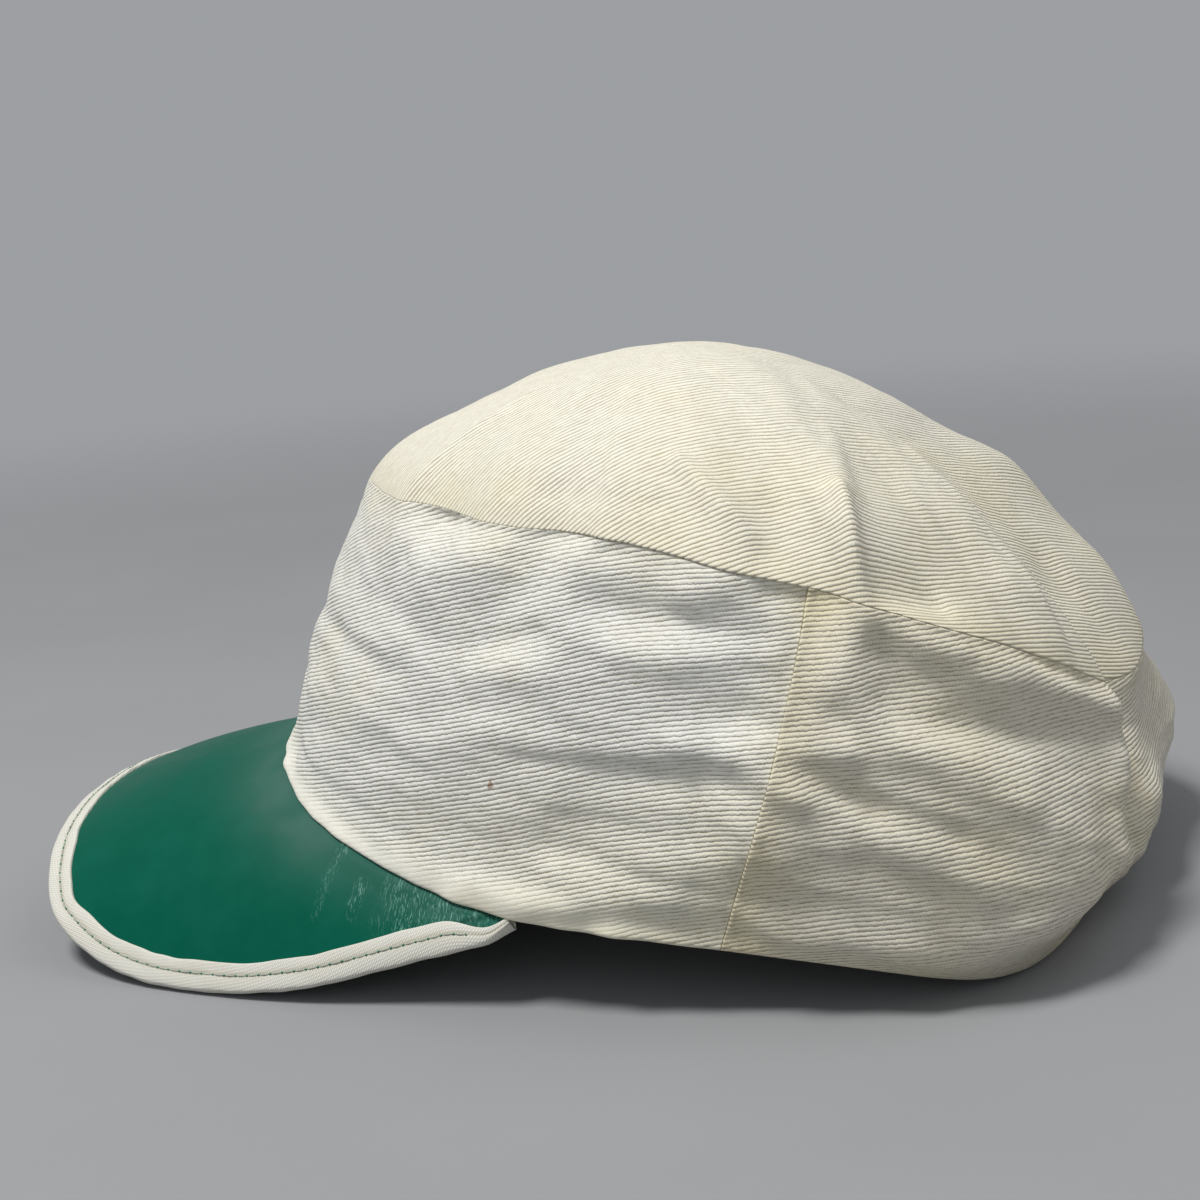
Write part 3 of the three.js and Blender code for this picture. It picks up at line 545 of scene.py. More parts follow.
def rim_faces(ids_out, ids_in, flip):
    a, b = np.asarray(ids_out[:-1]), np.asarray(ids_out[1:])
    c, d = np.asarray(ids_in[:-1]), np.asarray(ids_in[1:])
    q = np.stack([a, c, d, b], -1)
    return q[:, ::-1] if flip else q


# ---- materials --------------------------------------------------------------------------------
class Nodes:
    """Small helper that adds shader nodes and links them."""

    def __init__(self, name):
        self.mat = bpy.data.materials.new(name)
        self.mat.use_nodes = True
        self.tree = self.mat.node_tree
        self.tree.nodes.clear()

    def add(self, kind, **values):
        n = self.tree.nodes.new(kind)
        for k, v in values.items():
            if k.startswith("in_"):
                self.put(n.inputs[int(k[3:])] if k[3:].isdigit() else n.inputs[k[3:].replace("_", " ")], v)
            else:
                setattr(n, k, v)
        return n

    def put(self, socket, v):
        if isinstance(v, bpy.types.NodeSocket):
            self.tree.links.new(v, socket)
        else:
            socket.default_value = v

    def math(self, op, a, b=None, c=None, clamp=False):
        n = self.tree.nodes.new("ShaderNodeMath")
        n.operation = op
        n.use_clamp = clamp
        for i, v in enumerate((a, b, c)):
            if v is not None:
                self.put(n.inputs[i], v)
        return n.outputs[0]

    def vec(self, x, y, z=0.0):
        n = self.tree.nodes.new("ShaderNodeCombineXYZ")
        for i, v in enumerate((x, y, z)):
            self.put(n.inputs[i], v)
        return n.outputs[0]

    def noise(self, vector, scale, detail=2.0, rough=0.5):
        n = self.tree.nodes.new("ShaderNodeTexNoise")
        self.put(n.inputs["Vector"], vector)
        n.inputs["Scale"].default_value = scale
        n.inputs["Detail"].default_value = detail
        n.inputs["Roughness"].default_value = rough
        return n.outputs[0]

    def white(self, vector):
        n = self.tree.nodes.new("ShaderNodeTexWhiteNoise")
        n.noise_dimensions = "3D"
        self.put(n.inputs["Vector"], vector)
        return n.outputs[0]

    def ramp(self, x, lo, hi, out_lo=0.0, out_hi=1.0, kind="SMOOTHSTEP"):
        n = self.tree.nodes.new("ShaderNodeMapRange")
        n.interpolation_type = kind
        self.put(n.inputs[0], x)
        for i, v in enumerate((lo, hi, out_lo, out_hi)):
            self.put(n.inputs[i + 1], v)
        return n.outputs[0]

    def mix(self, f, a, b, blend="MIX"):
        n = self.tree.nodes.new("ShaderNodeMix")
        n.data_type = "RGBA"
        n.blend_type = blend
        self.put(n.inputs[0], f)
        self.put(n.inputs[6], a)
        self.put(n.inputs[7], b)
        return n.outputs[2]

    def mark(self, name):
        n = self.tree.nodes.new("ShaderNodeAttribute")
        n.attribute_type = "GEOMETRY"
        n.attribute_name = name
        return n.outputs["Fac"]

    def uv(self, name="cloth"):
        n = self.tree.nodes.new("ShaderNodeUVMap")
        n.uv_map = name
        s = self.tree.nodes.new("ShaderNodeSeparateXYZ")
        self.tree.links.new(n.outputs[0], s.inputs[0])
        return s.outputs[0], s.outputs[1]

    def finish(self, color, height, distance, strength=1.0, **sockets):
        p = self.tree.nodes.new("ShaderNodeBsdfPrincipled")
        self.put(p.inputs["Base Color"], color)
        for k, v in sockets.items():
            self.put(p.inputs[k.replace("_", " ")], v)
        if height is not None:
            b = self.tree.nodes.new("ShaderNodeBump")
            b.inputs["Distance"].default_value = distance
            b.inputs["Strength"].default_value = strength
            self.put(b.inputs["Height"], height)
            self.tree.links.new(b.outputs[0], p.inputs["Normal"])
        o = self.tree.nodes.new("ShaderNodeOutputMaterial")
        self.tree.links.new(p.outputs[0], o.inputs[0])
        return self.mat


def twill(name, light, dark, seed, contrast=1.0, bead=1.0, even=0.0):
    """Cotton twill: raised diagonal ribs with thin shaded lines between them, broken up by the crossing threads."""
    k = Nodes(name)
    u, v = k.uv()
    u = k.math("ADD", k.math("MULTIPLY", u, 100.0), 137.0 * seed)      # the map holds tenths of a metre
    v = k.math("ADD", k.math("MULTIPLY", v, 100.0), 400.0)
    drift = k.math("MULTIPLY", k.math("SUBTRACT", k.noise(k.vec(k.math("MULTIPLY", u, 0.10), k.math("MULTIPLY", v, 0.22), seed), 1.0, 2.0), 0.5), 0.70)
    jitter = k.math("MULTIPLY", k.math("SUBTRACT", k.noise(k.vec(k.math("MULTIPLY", u, 1.1), k.math("MULTIPLY", v, 0.9), seed), 1.0, 1.0), 0.5), 0.42 - 0.22 * even)
    vv = k.math("DIVIDE", k.math("ADD", k.math("ADD", v, drift), jitter), RIB)
    index = k.math("FLOOR", vv)
    f = k.math("FRACT", vv)
    ridge = k.math("POWER", k.math("SINE", k.math("MULTIPLY", f, math.pi)), 0.75)      # 0 in the line, 1 on the rib
    # threads crossing the rib, leaning the other way, at uneven steps
    push = k.math("MULTIPLY", k.math("SUBTRACT", k.noise(k.vec(k.math("MULTIPLY", u, 0.8), k.math("MULTIPLY", index, 5.3), seed + 8.0), 1.0, 1.0), 0.5), 1.1)
    along = k.math("ADD", k.math("ADD", k.math("DIVIDE", u, 0.66), push), k.math("ADD", k.math("MULTIPLY", index, 0.37), k.math("MULTIPLY", f, 0.55)))
    beat = k.math("SINE", k.math("MULTIPLY", along, 2 * math.pi))
    beads = k.math("MULTIPLY_ADD", beat, 0.5, 0.5)
    # uneven yarn: each stretch of a rib a little lighter or darker
    cell = k.noise(k.vec(k.math("MULTIPLY", u, 0.75), k.math("MULTIPLY", index, 3.7), seed + 0.5), 1.0, 1.0)
    dash = k.noise(k.vec(k.math("MULTIPLY", u, 0.55), k.math("MULTIPLY", k.math("FLOOR", k.math("ADD", vv, 0.5)), 7.1), seed + 4.5), 1.0, 1.0)
    slub = k.noise(k.vec(k.math("MULTIPLY", u, 0.12), k.math("MULTIPLY", v, 0.9), seed + 3.0), 1.0, 2.0)
    weft = k.noise(k.vec(k.math("MULTIPLY", k.math("ADD", u, k.math("MULTIPLY", v, 0.6)), 0.9), k.math("MULTIPLY", k.math("SUBTRACT", v, k.math("MULTIPLY", u, 0.6)), 0.10), seed + 6.0), 1.0, 2.0)
    hem_highlight = k.mark("soft")                                                              # along the full hem the ribs flatten and their shaded lines are lightened: a painted highlight of the flared hem
    height = k.math("MULTIPLY", ridge, k.math("MULTIPLY_ADD", beads, 0.34 * bead, 1 - 0.34 * bead))
    height = k.math("ADD", height, k.math("MULTIPLY", cell, 0.35 - 0.20 * even))
    height = k.math("ADD", height, k.math("MULTIPLY", weft, 0.30 - 0.15 * even))
    height = k.math("MULTIPLY", height, k.math("MULTIPLY_ADD", hem_highlight, -0.85, 1.0))
    # colour
    width = k.ramp(dash, 0.30, 0.70, 0.14 + 0.10 * even, 0.33)                                       # the line opens and closes
    line = k.ramp(f, 0.0, width)
    line2 = k.ramp(f, 1.0, k.math("SUBTRACT", 1.0, k.math("MULTIPLY", width, 0.75)))
    open_ = k.math("MULTIPLY", line, line2)                                            # 0 in the line
    depth = k.math("MULTIPLY", k.ramp(dash, 0.30, 0.68, 0.30 + 0.40 * even, 1.0), contrast)
    shade = k.math("MULTIPLY", k.math("SUBTRACT", 1.0, open_), depth)
    gap = k.math("POWER", k.math("SUBTRACT", 1.0, beads), 3.0)                         # pinholes between the beads
    shade = k.math("ADD", shade, k.math("MULTIPLY", gap, 0.30 * contrast * bead), clamp=True)
    # painted highlight: the shaded lines fade along the hem
    shade = k.math("MULTIPLY", shade, k.math("MULTIPLY_ADD", hem_highlight, -0.80, 1.0))
    patch = k.noise(k.vec(k.math("MULTIPLY", u, 0.03), k.math("MULTIPLY", v, 0.03), seed), 1.0, 3.0, 0.6)
    warm = k.math("ADD", k.math("MULTIPLY", k.mark("warm"), 1.0), k.ramp(patch, 0.46, 0.75, 0.0, 0.45), clamp=True)
    tone = k.mix(warm, light, (light[0] * 0.985, light[1] * 0.945, light[2] * 0.79, 1))
    tone = k.mix(k.ramp(slub, 0.35, 0.7, 0.0, 0.16), tone, (light[0] * 0.74, light[1] * 0.74, light[2] * 0.72, 1))
    tone = k.mix(k.ramp(cell, 0.35, 0.7, 0.12, 0.0), tone, (light[0] * 0.70, light[1] * 0.69, light[2] * 0.66, 1))
    low = k.mix(warm, dark, (dark[0] * 1.0, dark[1] * 0.90, dark[2] * 0.68, 1))
    color = k.mix(shade, tone, low)
    color = k.mix(k.ramp(k.mark("fleck"), 0.30, 0.62, 0.0, 0.75), color, (0.26, 0.13, 0.07, 1))
    return k.finish(color, height, 0.00030, 0.9, Roughness=0.88, Specular_IOR_Level=0.2,
                    Sheen_Weight=0.08, Sheen_Roughness=0.5)


CREAM = (0.78, 0.775, 0.735, 1)
LINE = (0.32, 0.29, 0.215, 1)
# the top and the back band are darker, yellower copies of the front cloth: their darker tone is painted shade, toning
# down the strongly lit top and the rear band
top_cloth = twill("top_twill", (0.775, 0.75, 0.655, 1), (0.36, 0.31, 0.205, 1), 1.0, 0.76, 0.36, 0.8)
front_cloth = twill("front_twill", CREAM, LINE, 2.0, 0.72, 0.6)
back_cloth = twill("back_twill", (0.735, 0.70, 0.595, 1), LINE, 3.0, 0.80, 0.6)


# ---- cloth pieces ---------------------------------------------------------------------------
def near_seam(deg, t):
    """How much the cloth is aged and warm at a place of the band, with painted shade in the fold valleys behind the
    side seam.
    """
    a = np.abs(turn(deg))
    side = np.abs(a - lerp(SIDE_SEAM["hem"], SIDE_SEAM["top"], t)) * 1.45
    w = 0.55 * np.exp(-(side / 7) ** 2) + 0.35 * np.exp(-((1 - t) * 78 / 7) ** 2) + 0.40 * np.exp(-(t * 78 / 6) ** 2)
    w = w + 0.60 * smooth(48, 84, a) * (1 - smooth(97, 104, a)) * (1 - smooth(0.12, 0.62, t))
    h = fold_height("band", deg, t)
    # painted shade: warmer and darker in the fold valleys behind the side seam
    return np.clip(w + 0.10 * np.clip(-h, 0, 3) * smooth(95, 120, a), 0, 1)


RIB_TURN = np.array([[-180, 10], [-150, 12], [-110, 20], [-60, 20], [0, 24], [40, 26], [60, 22], [72, 19], [95, 18],
                     [115, 20], [130, 18], [147, 12], [160, 8], [180, 10]])   # degrees round, lean of the ribs


def band_piece(name, first, last, cols_mm, material, node, seed, side_rise, side_roll):
    """first and last give the degree at which the piece starts and ends, for a share t of its height.
    side_rise lifts the cloth (or below zero sinks it) along the side seams, side_roll is the turned edge's radius."""
    ts = spaced(78.0, STEP, True, True)
    cs = spaced(cols_mm, STEP, True, True)
    T, C = np.meshgrid(ts, cs, indexing="ij")
    D = lerp(first(T), last(T), C)
    P = band_face(D, T)
    N = grid_normals(P)
    if (N * outward(D)).sum() < 0:
        N = -N
    # lie of the cloth, measured before its edges are turned in
    e1, e0 = unit(np.gradient(P, axis=1)), unit(np.gradient(P, axis=0))
    e0 = unit(e0 - (e0 * e1).sum(-1, keepdims=True) * e1)
    lean = np.interp(turn(D), RIB_TURN[:, 0], RIB_TURN[:, 1]) * rad
    U, W = lay_flat(P, e1 * np.cos(lean)[..., None] + e0 * np.sin(lean)[..., None])
    # distances to the edges
    run0 = np.concatenate([np.zeros((1, P.shape[1])), np.cumsum(np.linalg.norm(np.diff(P, axis=0), axis=-1), 0)])
    run1 = np.concatenate([np.zeros((P.shape[0], 1)), np.cumsum(np.linalg.norm(np.diff(P, axis=1), axis=-1), 1)], 1)
    d_hem, d_top = run0, run0[-1:] - run0
    d_a, d_b = run1, run1[:, -1:] - run1
    pinch = 1 + 0.16 * waves(run1, 0 * run1, 31 + seed, 5.0, 10)          # stitches pull the seam in unevenly
    pinch_side = 1 + 0.16 * waves(run0, 0 * run0, 41 + seed, 5.0, 10)
    rear = smooth(108, 118, np.abs(turn(D)))                              # behind the sides the top seam is a soft groove
    flush = 1 - smooth(70, 84, np.abs(turn(D)))                           # round the front the seam hardly shows
    r_top, r_side, r_hem = lerp(0.12, 0.40, rear) * pinch, side_roll * pinch_side, 1.2
    N = soften(N, 6)
    level = np.clip(1 - d_top / 6, 0, 1) ** 2 + np.clip(1 - d_hem / 5, 0, 1) ** 2
    N = unit(lerp(N, outward(D), np.clip(level, 0, 1)[..., None]))
    wall = lerp(HEM_CLOTH, CLOTH, smooth(3.5, 9.0, d_hem))
    turn_in = np.maximum(roll(d_top, r_top), np.maximum(roll(d_a, r_side), roll(d_b, r_side)))
    d_side = np.minimum(d_a, d_b)
    rise = side_rise * np.exp(-(d_side / 2.0) ** 2) * pinch_side - lerp(0.22 * (1 - flush), 0.12, rear) * np.exp(-(d_top / 1.8) ** 2) * pinch
    over_peak = 1 - smooth(76, 84, np.abs(turn(D)))
    # the turned hem flares over the peak, most at the left and right
    side_way = smooth(45, 75, np.abs(turn(D)))
    flare = (1.1 + 0.5 * side_way) * np.exp(-(d_hem / lerp(3.4, 6.0, side_way)) ** 2) * (1 - smooth(84, 100, np.abs(turn(D))))
    bead = flare * (1 + 0.12 * waves(run1, 0 * run1, 21, 8.0, 10))
    bead = bead + 0.9 * np.exp(-((np.abs(turn(D) - 17) / 2.2) ** 2)) * np.exp(-(d_hem / 3.0) ** 2)      # a pucker at the front corner
    rise = rise * smooth(0, 4, d_hem) + bead
    out = P - N * (np.maximum(turn_in, roll(d_hem, r_hem)) - rise)[..., None]
    depth = np.maximum(wall - roll(d_hem, wall - r_hem), np.maximum(turn_in, roll(d_hem, r_hem)) - rise + 0.03)
    inn = P - N * depth[..., None]
    out[..., 2] = np.maximum(out[..., 2], 0.0)
    inn[..., 2] = np.maximum(inn[..., 2], 0.0)
    rows, cols = T.shape
    n = rows * cols
    verts = np.concatenate([out.reshape(-1, 3), inn.reshape(-1, 3)])
    flip = not outside_in(out)
    faces = [grid_faces(rows, cols, 0, False, flip), grid_faces(rows, cols, n, False, not flip)]
    ids = np.arange(n).reshape(rows, cols)
    loop = np.concatenate([ids[0, :], ids[1:, -1], ids[-1, -2::-1], ids[-2::-1, 0]])
    faces.append(rim_faces(loop, loop + n, flip))
    faces = np.concatenate(faces)
    uv = np.stack([U, W], -1).reshape(-1, 2) / 100
    warm = near_seam(D, T).ravel()
    # mark of the hem's painted highlight, where the ribs flatten and their shaded lines fade
    soft = ((1 - smooth(80, 96, np.abs(turn(D)))) * (1 - smooth(lerp(1.6, 3.0, side_way), lerp(6.0, 11.0, side_way), d_hem))).ravel()
    spot = band_measure(np.array(68.2), np.array(0.345))
    m = band_measure(turn(D), T) - spot
    fleck = np.exp(-(m[..., 0] / 0.75) ** 2 - (m[..., 1] / 1.25) ** 2).ravel()
    ob = make_mesh(name, verts, faces, np.concatenate([uv, uv]),
                   {"warm": np.concatenate([warm, warm * 0.5]), "soft": np.concatenate([soft, soft * 0]),
                    "fleck": np.concatenate([fleck, fleck * 0])}, material)
    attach(ob, "root")
    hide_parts(node)
    return ob


def outside_in(grid):
    """True where a grid's faces, as grid_faces orders them, look away from the cap's middle."""
    du, dv = np.gradient(grid, axis=1), np.gradient(grid, axis=0)
    n = np.cross(du, dv)
    away = grid - np.array([0, 20, 60.0])
    return (n * away).sum() > 0


seam_at = lambda t: lerp(SIDE_SEAM["hem"], SIDE_SEAM["top"], t)
SEAM_HALF = 0.01 / 83 / rad
front = band_piece("front_band_cloth", lambda t: -seam_at(t) + SEAM_HALF, lambda t: seam_at(t) - SEAM_HALF, 335.0,
                   front_cloth, "front_band", 0, -0.25, 0.12)
back = band_piece("back_band_cloth", lambda t: seam_at(t) + SEAM_HALF, lambda t: 360 - seam_at(t) - SEAM_HALF, 235.0,
                  back_cloth, "back_band", 1, 0.45, 0.5)


def top_piece():
    cols = 384
    deg = np.arange(cols) * 360 / cols
    ss = spaced(104.0, 1.06, False, True)[1:]
    S, D = np.meshgrid(ss, deg, indexing="ij")
    P = top_face(D, S)
    N = grid_normals(P, True)
    if N[..., 2].sum() < 0:
        N = -N
    # direction of the ribs: a flat cloth seen from above, turned with the steep rear
    plan = P[..., :2] - APEX[:2]
    radial = unit(np.gradient(P, axis=0))
    round_ = unit(np.roll(P, -1, 1) - np.roll(P, 1, 1))
    beta = np.degrees(np.arctan2(plan[..., 1], plan[..., 0]))
    table = np.array([[-180, 181], [-165, 170], [-150, 152], [-110, 117], [0, 120], [50, 122], [70, 124], [84, 129],
                      [96, 135], [107, 142], [118, 148], [130, 153], [136, 158], [144, 166], [149, 171], [153, 175],
                      [157, 179], [163, 181], [180, 181]])
    a = np.interp(turn(D), table[:, 0], table[:, 1])
    a = lerp(126, a, smooth(0.15, 0.7, S))
    rel = (a - beta) * rad
    U, W = lay_flat(P, radial * np.cos(rel)[..., None] + round_ * np.sin(rel)[..., None], True)
    run0 = np.cumsum(np.linalg.norm(np.diff(np.concatenate([np.broadcast_to(APEX, (1, cols, 3)), P]), axis=0), axis=-1), 0)
    d = run0[-1:] - run0
    length = np.concatenate([[0], np.cumsum(np.linalg.norm(np.diff(P[-1], axis=0), axis=-1))])
    pinch = 1 + 0.13 * waves(length, 0 * length, 51, 5.0, 10)[None, :]
    N = soften(N, 6, True)
    level = np.clip(1 - d / 5, 0, 1)[..., None] ** 2
    N = unit(lerp(N, outward(D), level))
    # the top's edge stands clear of the band over the left and right sides, and lies close elsewhere
    clear = smooth(72, 86, np.abs(turn(D))) * (1 - smooth(106, 116, np.abs(turn(D))))
    flush = 1 - smooth(70, 84, np.abs(turn(D)))
    rear = smooth(108, 118, np.abs(turn(D)))
    turn_in = roll(d, lerp(lerp(0.34 + 0.45 * clear, 0.13, flush), 0.40, rear) * pinch)
    rise = lerp((0.30 + 0.12 * clear) * (1 - 0.9 * flush) * np.exp(-(d / 2.6) ** 2), -0.12 * np.exp(-(d / 1.8) ** 2), rear) * pinch
    out = P - N * (turn_in - rise)[..., None]
    out[..., 2] += 0.01
    inn = P - N * np.maximum(CLOTH, turn_in - rise + 0.05)[..., None]
    rows = len(ss)
    n = rows * cols
    verts = np.concatenate([out.reshape(-1, 3), inn.reshape(-1, 3), [out[0].mean(0)], [inn[0].mean(0)]])
    flip = not outside_in(out)
    faces = [grid_faces(rows, cols, 0, True, flip), grid_faces(rows, cols, n, True, not flip)]
    last = np.concatenate([np.arange(cols), [0]]) + (rows - 1) * cols
    faces.append(rim_faces(last, last + n, not flip))
    quads = np.concatenate(faces)
    i = np.arange(cols)
    j = (i + 1) % cols
    fan_out = np.stack([np.full(cols, 2 * n), j, i] if not flip else [np.full(cols, 2 * n), i, j], -1)
    fan_in = np.stack([np.full(cols, 2 * n + 1), n + i, n + j] if not flip else [np.full(cols, 2 * n + 1), n + j, n + i], -1)
    all_faces = [q for q in quads.tolist()] + fan_out.tolist() + fan_in.tolist()
    uv = np.stack([U, W], -1).reshape(-1, 2) / 100
    uv = np.concatenate([uv, uv, [uv[:cols].mean(0)], [uv[:cols].mean(0)]])
    h = fold_height("top", D, S)
    # warmer along the top's edge and round its sides and rear; warmer and darker in its fold valleys, a painted shade
    warm = np.clip(0.35 * np.exp(-(d / 8) ** 2) + 0.25 * smooth(70, 130, np.abs(turn(D))) * smooth(0.5, 0.9, S) + 0.05 * np.clip(-h, 0, 3), 0, 1).ravel()
    ob = make_mesh("crown_top_cloth", verts, all_faces, uv, {"warm": np.concatenate([warm, warm, [0], [0]]), "soft": np.zeros(2 * n + 2), "fleck": np.zeros(2 * n + 2)}, top_cloth)
    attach(ob, "root")
    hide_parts("crown_top")
    return ob


top = top_piece()

# ---- the peak -----------------------------------------------------------------------------------
EDGE_AT = np.concatenate([-PEAK[:0:-1, 0], PEAK[:, 0]])
EDGE_P = np.concatenate([PEAK[:0:-1, 1:] * [-1, 1, 1], PEAK[:, 1:]])
EDGE_SLOPE = np.array([(EDGE_P[min(len(EDGE_P) - 1, i + 1)] - EDGE_P[max(0, i - 1)]) /
                       (EDGE_AT[min(len(EDGE_P) - 1, i + 1)] - EDGE_AT[max(0, i - 1)]) for i in range(len(EDGE_P))])


def edge_curve(u):
    u = np.asarray(u, float)
    past = u - np.clip(u, -1, 1)                       # beyond the corner the edge runs straight on, up under the hem
    u = np.clip(u, -1, 1)
    i = np.clip(np.searchsorted(EDGE_AT, u, side="left") - 1, 0, len(EDGE_AT) - 2)
    w = EDGE_AT[i + 1] - EDGE_AT[i]
    t = ((u - EDGE_AT[i]) / w)[..., None]
    w = w[..., None]
    P = (EDGE_P[i] * (2 * t ** 3 - 3 * t ** 2 + 1) + EDGE_SLOPE[i] * w * (t ** 3 - 2 * t ** 2 + t)
         + EDGE_P[i + 1] * (-2 * t ** 3 + 3 * t ** 2) + EDGE_SLOPE[i + 1] * w * (t ** 3 - t ** 2))
    return P + past[..., None] * np.where((past > 0)[..., None], EDGE_SLOPE[-1], EDGE_SLOPE[0])


def peak_frame(u):
    deg = u * PEAK_SPREAD
    h, o = hem(deg), outward(deg)
    drop = np.array([0, 0, GAP + SHEET / 2 + 0.15])
    root = h + o * (HEM_LIP + 0.3) - drop
    tuck = h + o * (-HEM_CLOTH + HEM_LIP) - drop
    edge = edge_curve(u)
    along = unit(edge_curve(u + 0.005) - edge_curve(u - 0.005))
    out = edge - root
    reach = np.linalg.norm(out, axis=-1, keepdims=True)
    out = out - (out * along).sum(-1, keepdims=True) * along
    across = np.linalg.norm(out, axis=-1)              # reach measured square to the edge
    return dict(tuck=tuck, root=root, edge=edge, along=along, out=unit(out), reach=reach, across=across)


def peak_mid(u, v):
    u, v = np.broadcast_arrays(np.asarray(u, float), np.asarray(v, float))
    f = peak_frame(u)
    end = f["edge"] - f["out"] * (TAPE + GAP)
    P = lerp(f["root"], end, v[..., None])
    P[..., 2] += 0.03 * f["reach"][..., 0] * np.sin(np.pi * np.clip(v, 0, 1))
    return P


def peak_normal(u, v):
    u, v = np.broadcast_arrays(np.asarray(u, float), np.asarray(v, float))
    a = peak_mid(u + 0.01, v) - peak_mid(u - 0.01, v)
    b = peak_mid(u, np.minimum(1, v + 0.02)) - peak_mid(u, np.maximum(0, v - 0.02))
    return unit(np.cross(b, a))


PEAK_END = 0.965
TAPE_END = 0.995


def tuck_in(P):
    """Near its corners the peak slips in behind the hem: how far the points P of it are moved there."""
    sideways = np.where(P[..., 0] > 0, -1.0, 1.0)
    inward = np.stack([sideways, 0 * sideways, 0 * sideways], -1)
    y = P[..., 1]
    return inward * (3.4 * smooth(-13, -2, y))[..., None] + np.array([0, 0, 1.0]) * (3.0 * smooth(-16, -3, y))[..., None]


def edge_distance(P):
    """Distance in mm of the points P from the peak's edge."""
    line = edge_curve(np.linspace(-1, 1, 321))
    best = np.full(P.shape[:-1], 1e9)
    for q in line:
        best = np.minimum(best, ((P - q) ** 2).sum(-1))
    return np.sqrt(best)


def vinyl():
    k = Nodes("peak_vinyl")
    u, v = k.uv()                                                          # run round the cap, and towards the front
    u, v = k.math("MULTIPLY", u, 100.0), k.math("MULTIPLY", v, 100.0)      # mm
    crease = k.mark("crease")
    grain = k.noise(k.vec(k.math("MULTIPLY", u, 2.6), k.math("MULTIPLY", v, 2.6), 2.0), 1.0, 3.0, 0.6)
    # thin cracks where the bent sheet is held by the hem: long across the sheet, close together along it
    bend = k.math("MULTIPLY", k.math("SUBTRACT", k.noise(k.vec(k.math("MULTIPLY", u, 0.14), k.math("MULTIPLY", v, 0.14), 5.0), 1.0, 3.0, 0.6), 0.5), 3.6)
    q = k.math("ADD", v, bend)
    veins = k.noise(k.vec(k.math("MULTIPLY", u, 0.13), k.math("MULTIPLY", q, 1.15), 7.0), 1.0, 2.0, 0.5)
    thin = k.ramp(k.math("ABSOLUTE", k.math("SUBTRACT", veins, 0.5)), 0.0, 0.030, 1.0, 0.0)
    fine = k.noise(k.vec(k.math("MULTIPLY", u, 0.42), k.math("MULTIPLY", q, 3.2), 9.0), 1.0, 2.0, 0.5)
    thin2 = k.ramp(fine, 0.56, 0.66, 0.0, 1.0)
    broken = k.ramp(k.noise(k.vec(k.math("MULTIPLY", u, 1.1), k.math("MULTIPLY", v, 1.1), 12.0), 1.0, 2.0), 0.42, 0.60)
    thin = k.math("MULTIPLY", thin, broken)
    where = k.noise(k.vec(k.math("MULTIPLY", u, 0.10), k.math("MULTIPLY", v, 0.10), 4.0), 1.0, 2.0)
    mask = k.math("SUBTRACT", k.math("MULTIPLY", crease, 1.8), k.ramp(where, 0.35, 0.68, 0.0, 0.95), clamp=True)
    lines = k.math("MULTIPLY", k.math("MAXIMUM", thin, k.math("MULTIPLY", thin2, 0.85)), mask)
    wave = k.noise(k.vec(k.math("MULTIPLY", u, 0.05), k.math("MULTIPLY", v, 0.05), 1.0), 1.0, 2.0)
    scuff = k.noise(k.vec(k.math("MULTIPLY", u, 0.10), k.math("MULTIPLY", v, 0.10), 11.0), 1.0, 4.0, 0.65)
    height = k.math("ADD", k.math("MULTIPLY", grain, 0.10), k.math("MULTIPLY", wave, 2.0))
    height = k.math("ADD", height, k.math("MULTIPLY", lines, 0.5))
    height = k.math("ADD", height, k.math("MULTIPLY", scuff, 0.5))
    base = k.mix(k.ramp(scuff, 0.35, 0.75, 0.0, 0.6), (0.0, 0.082, 0.051, 1), (0.001, 0.096, 0.062, 1))
    painted_sheen = k.math("MULTIPLY", k.mark("painted_sheen"), k.ramp(wave, 0.35, 0.65, 0.6, 1.0))       # painted sheen: greyer where the glossy sheet near the hem shows a reflection
    base = k.mix(k.math("MULTIPLY", painted_sheen, 0.16), base, (0.30, 0.33, 0.34, 1))
    color = k.mix(k.math("MULTIPLY", lines, 0.62), base, (0.20, 0.42, 0.36, 1))
    rough = k.math("ADD", 0.34, k.math("MULTIPLY", k.ramp(scuff, 0.3, 0.8), 0.12))
    return k.finish(color, height, 0.00014, 0.7, Roughness=rough, Specular_IOR_Level=0.07)


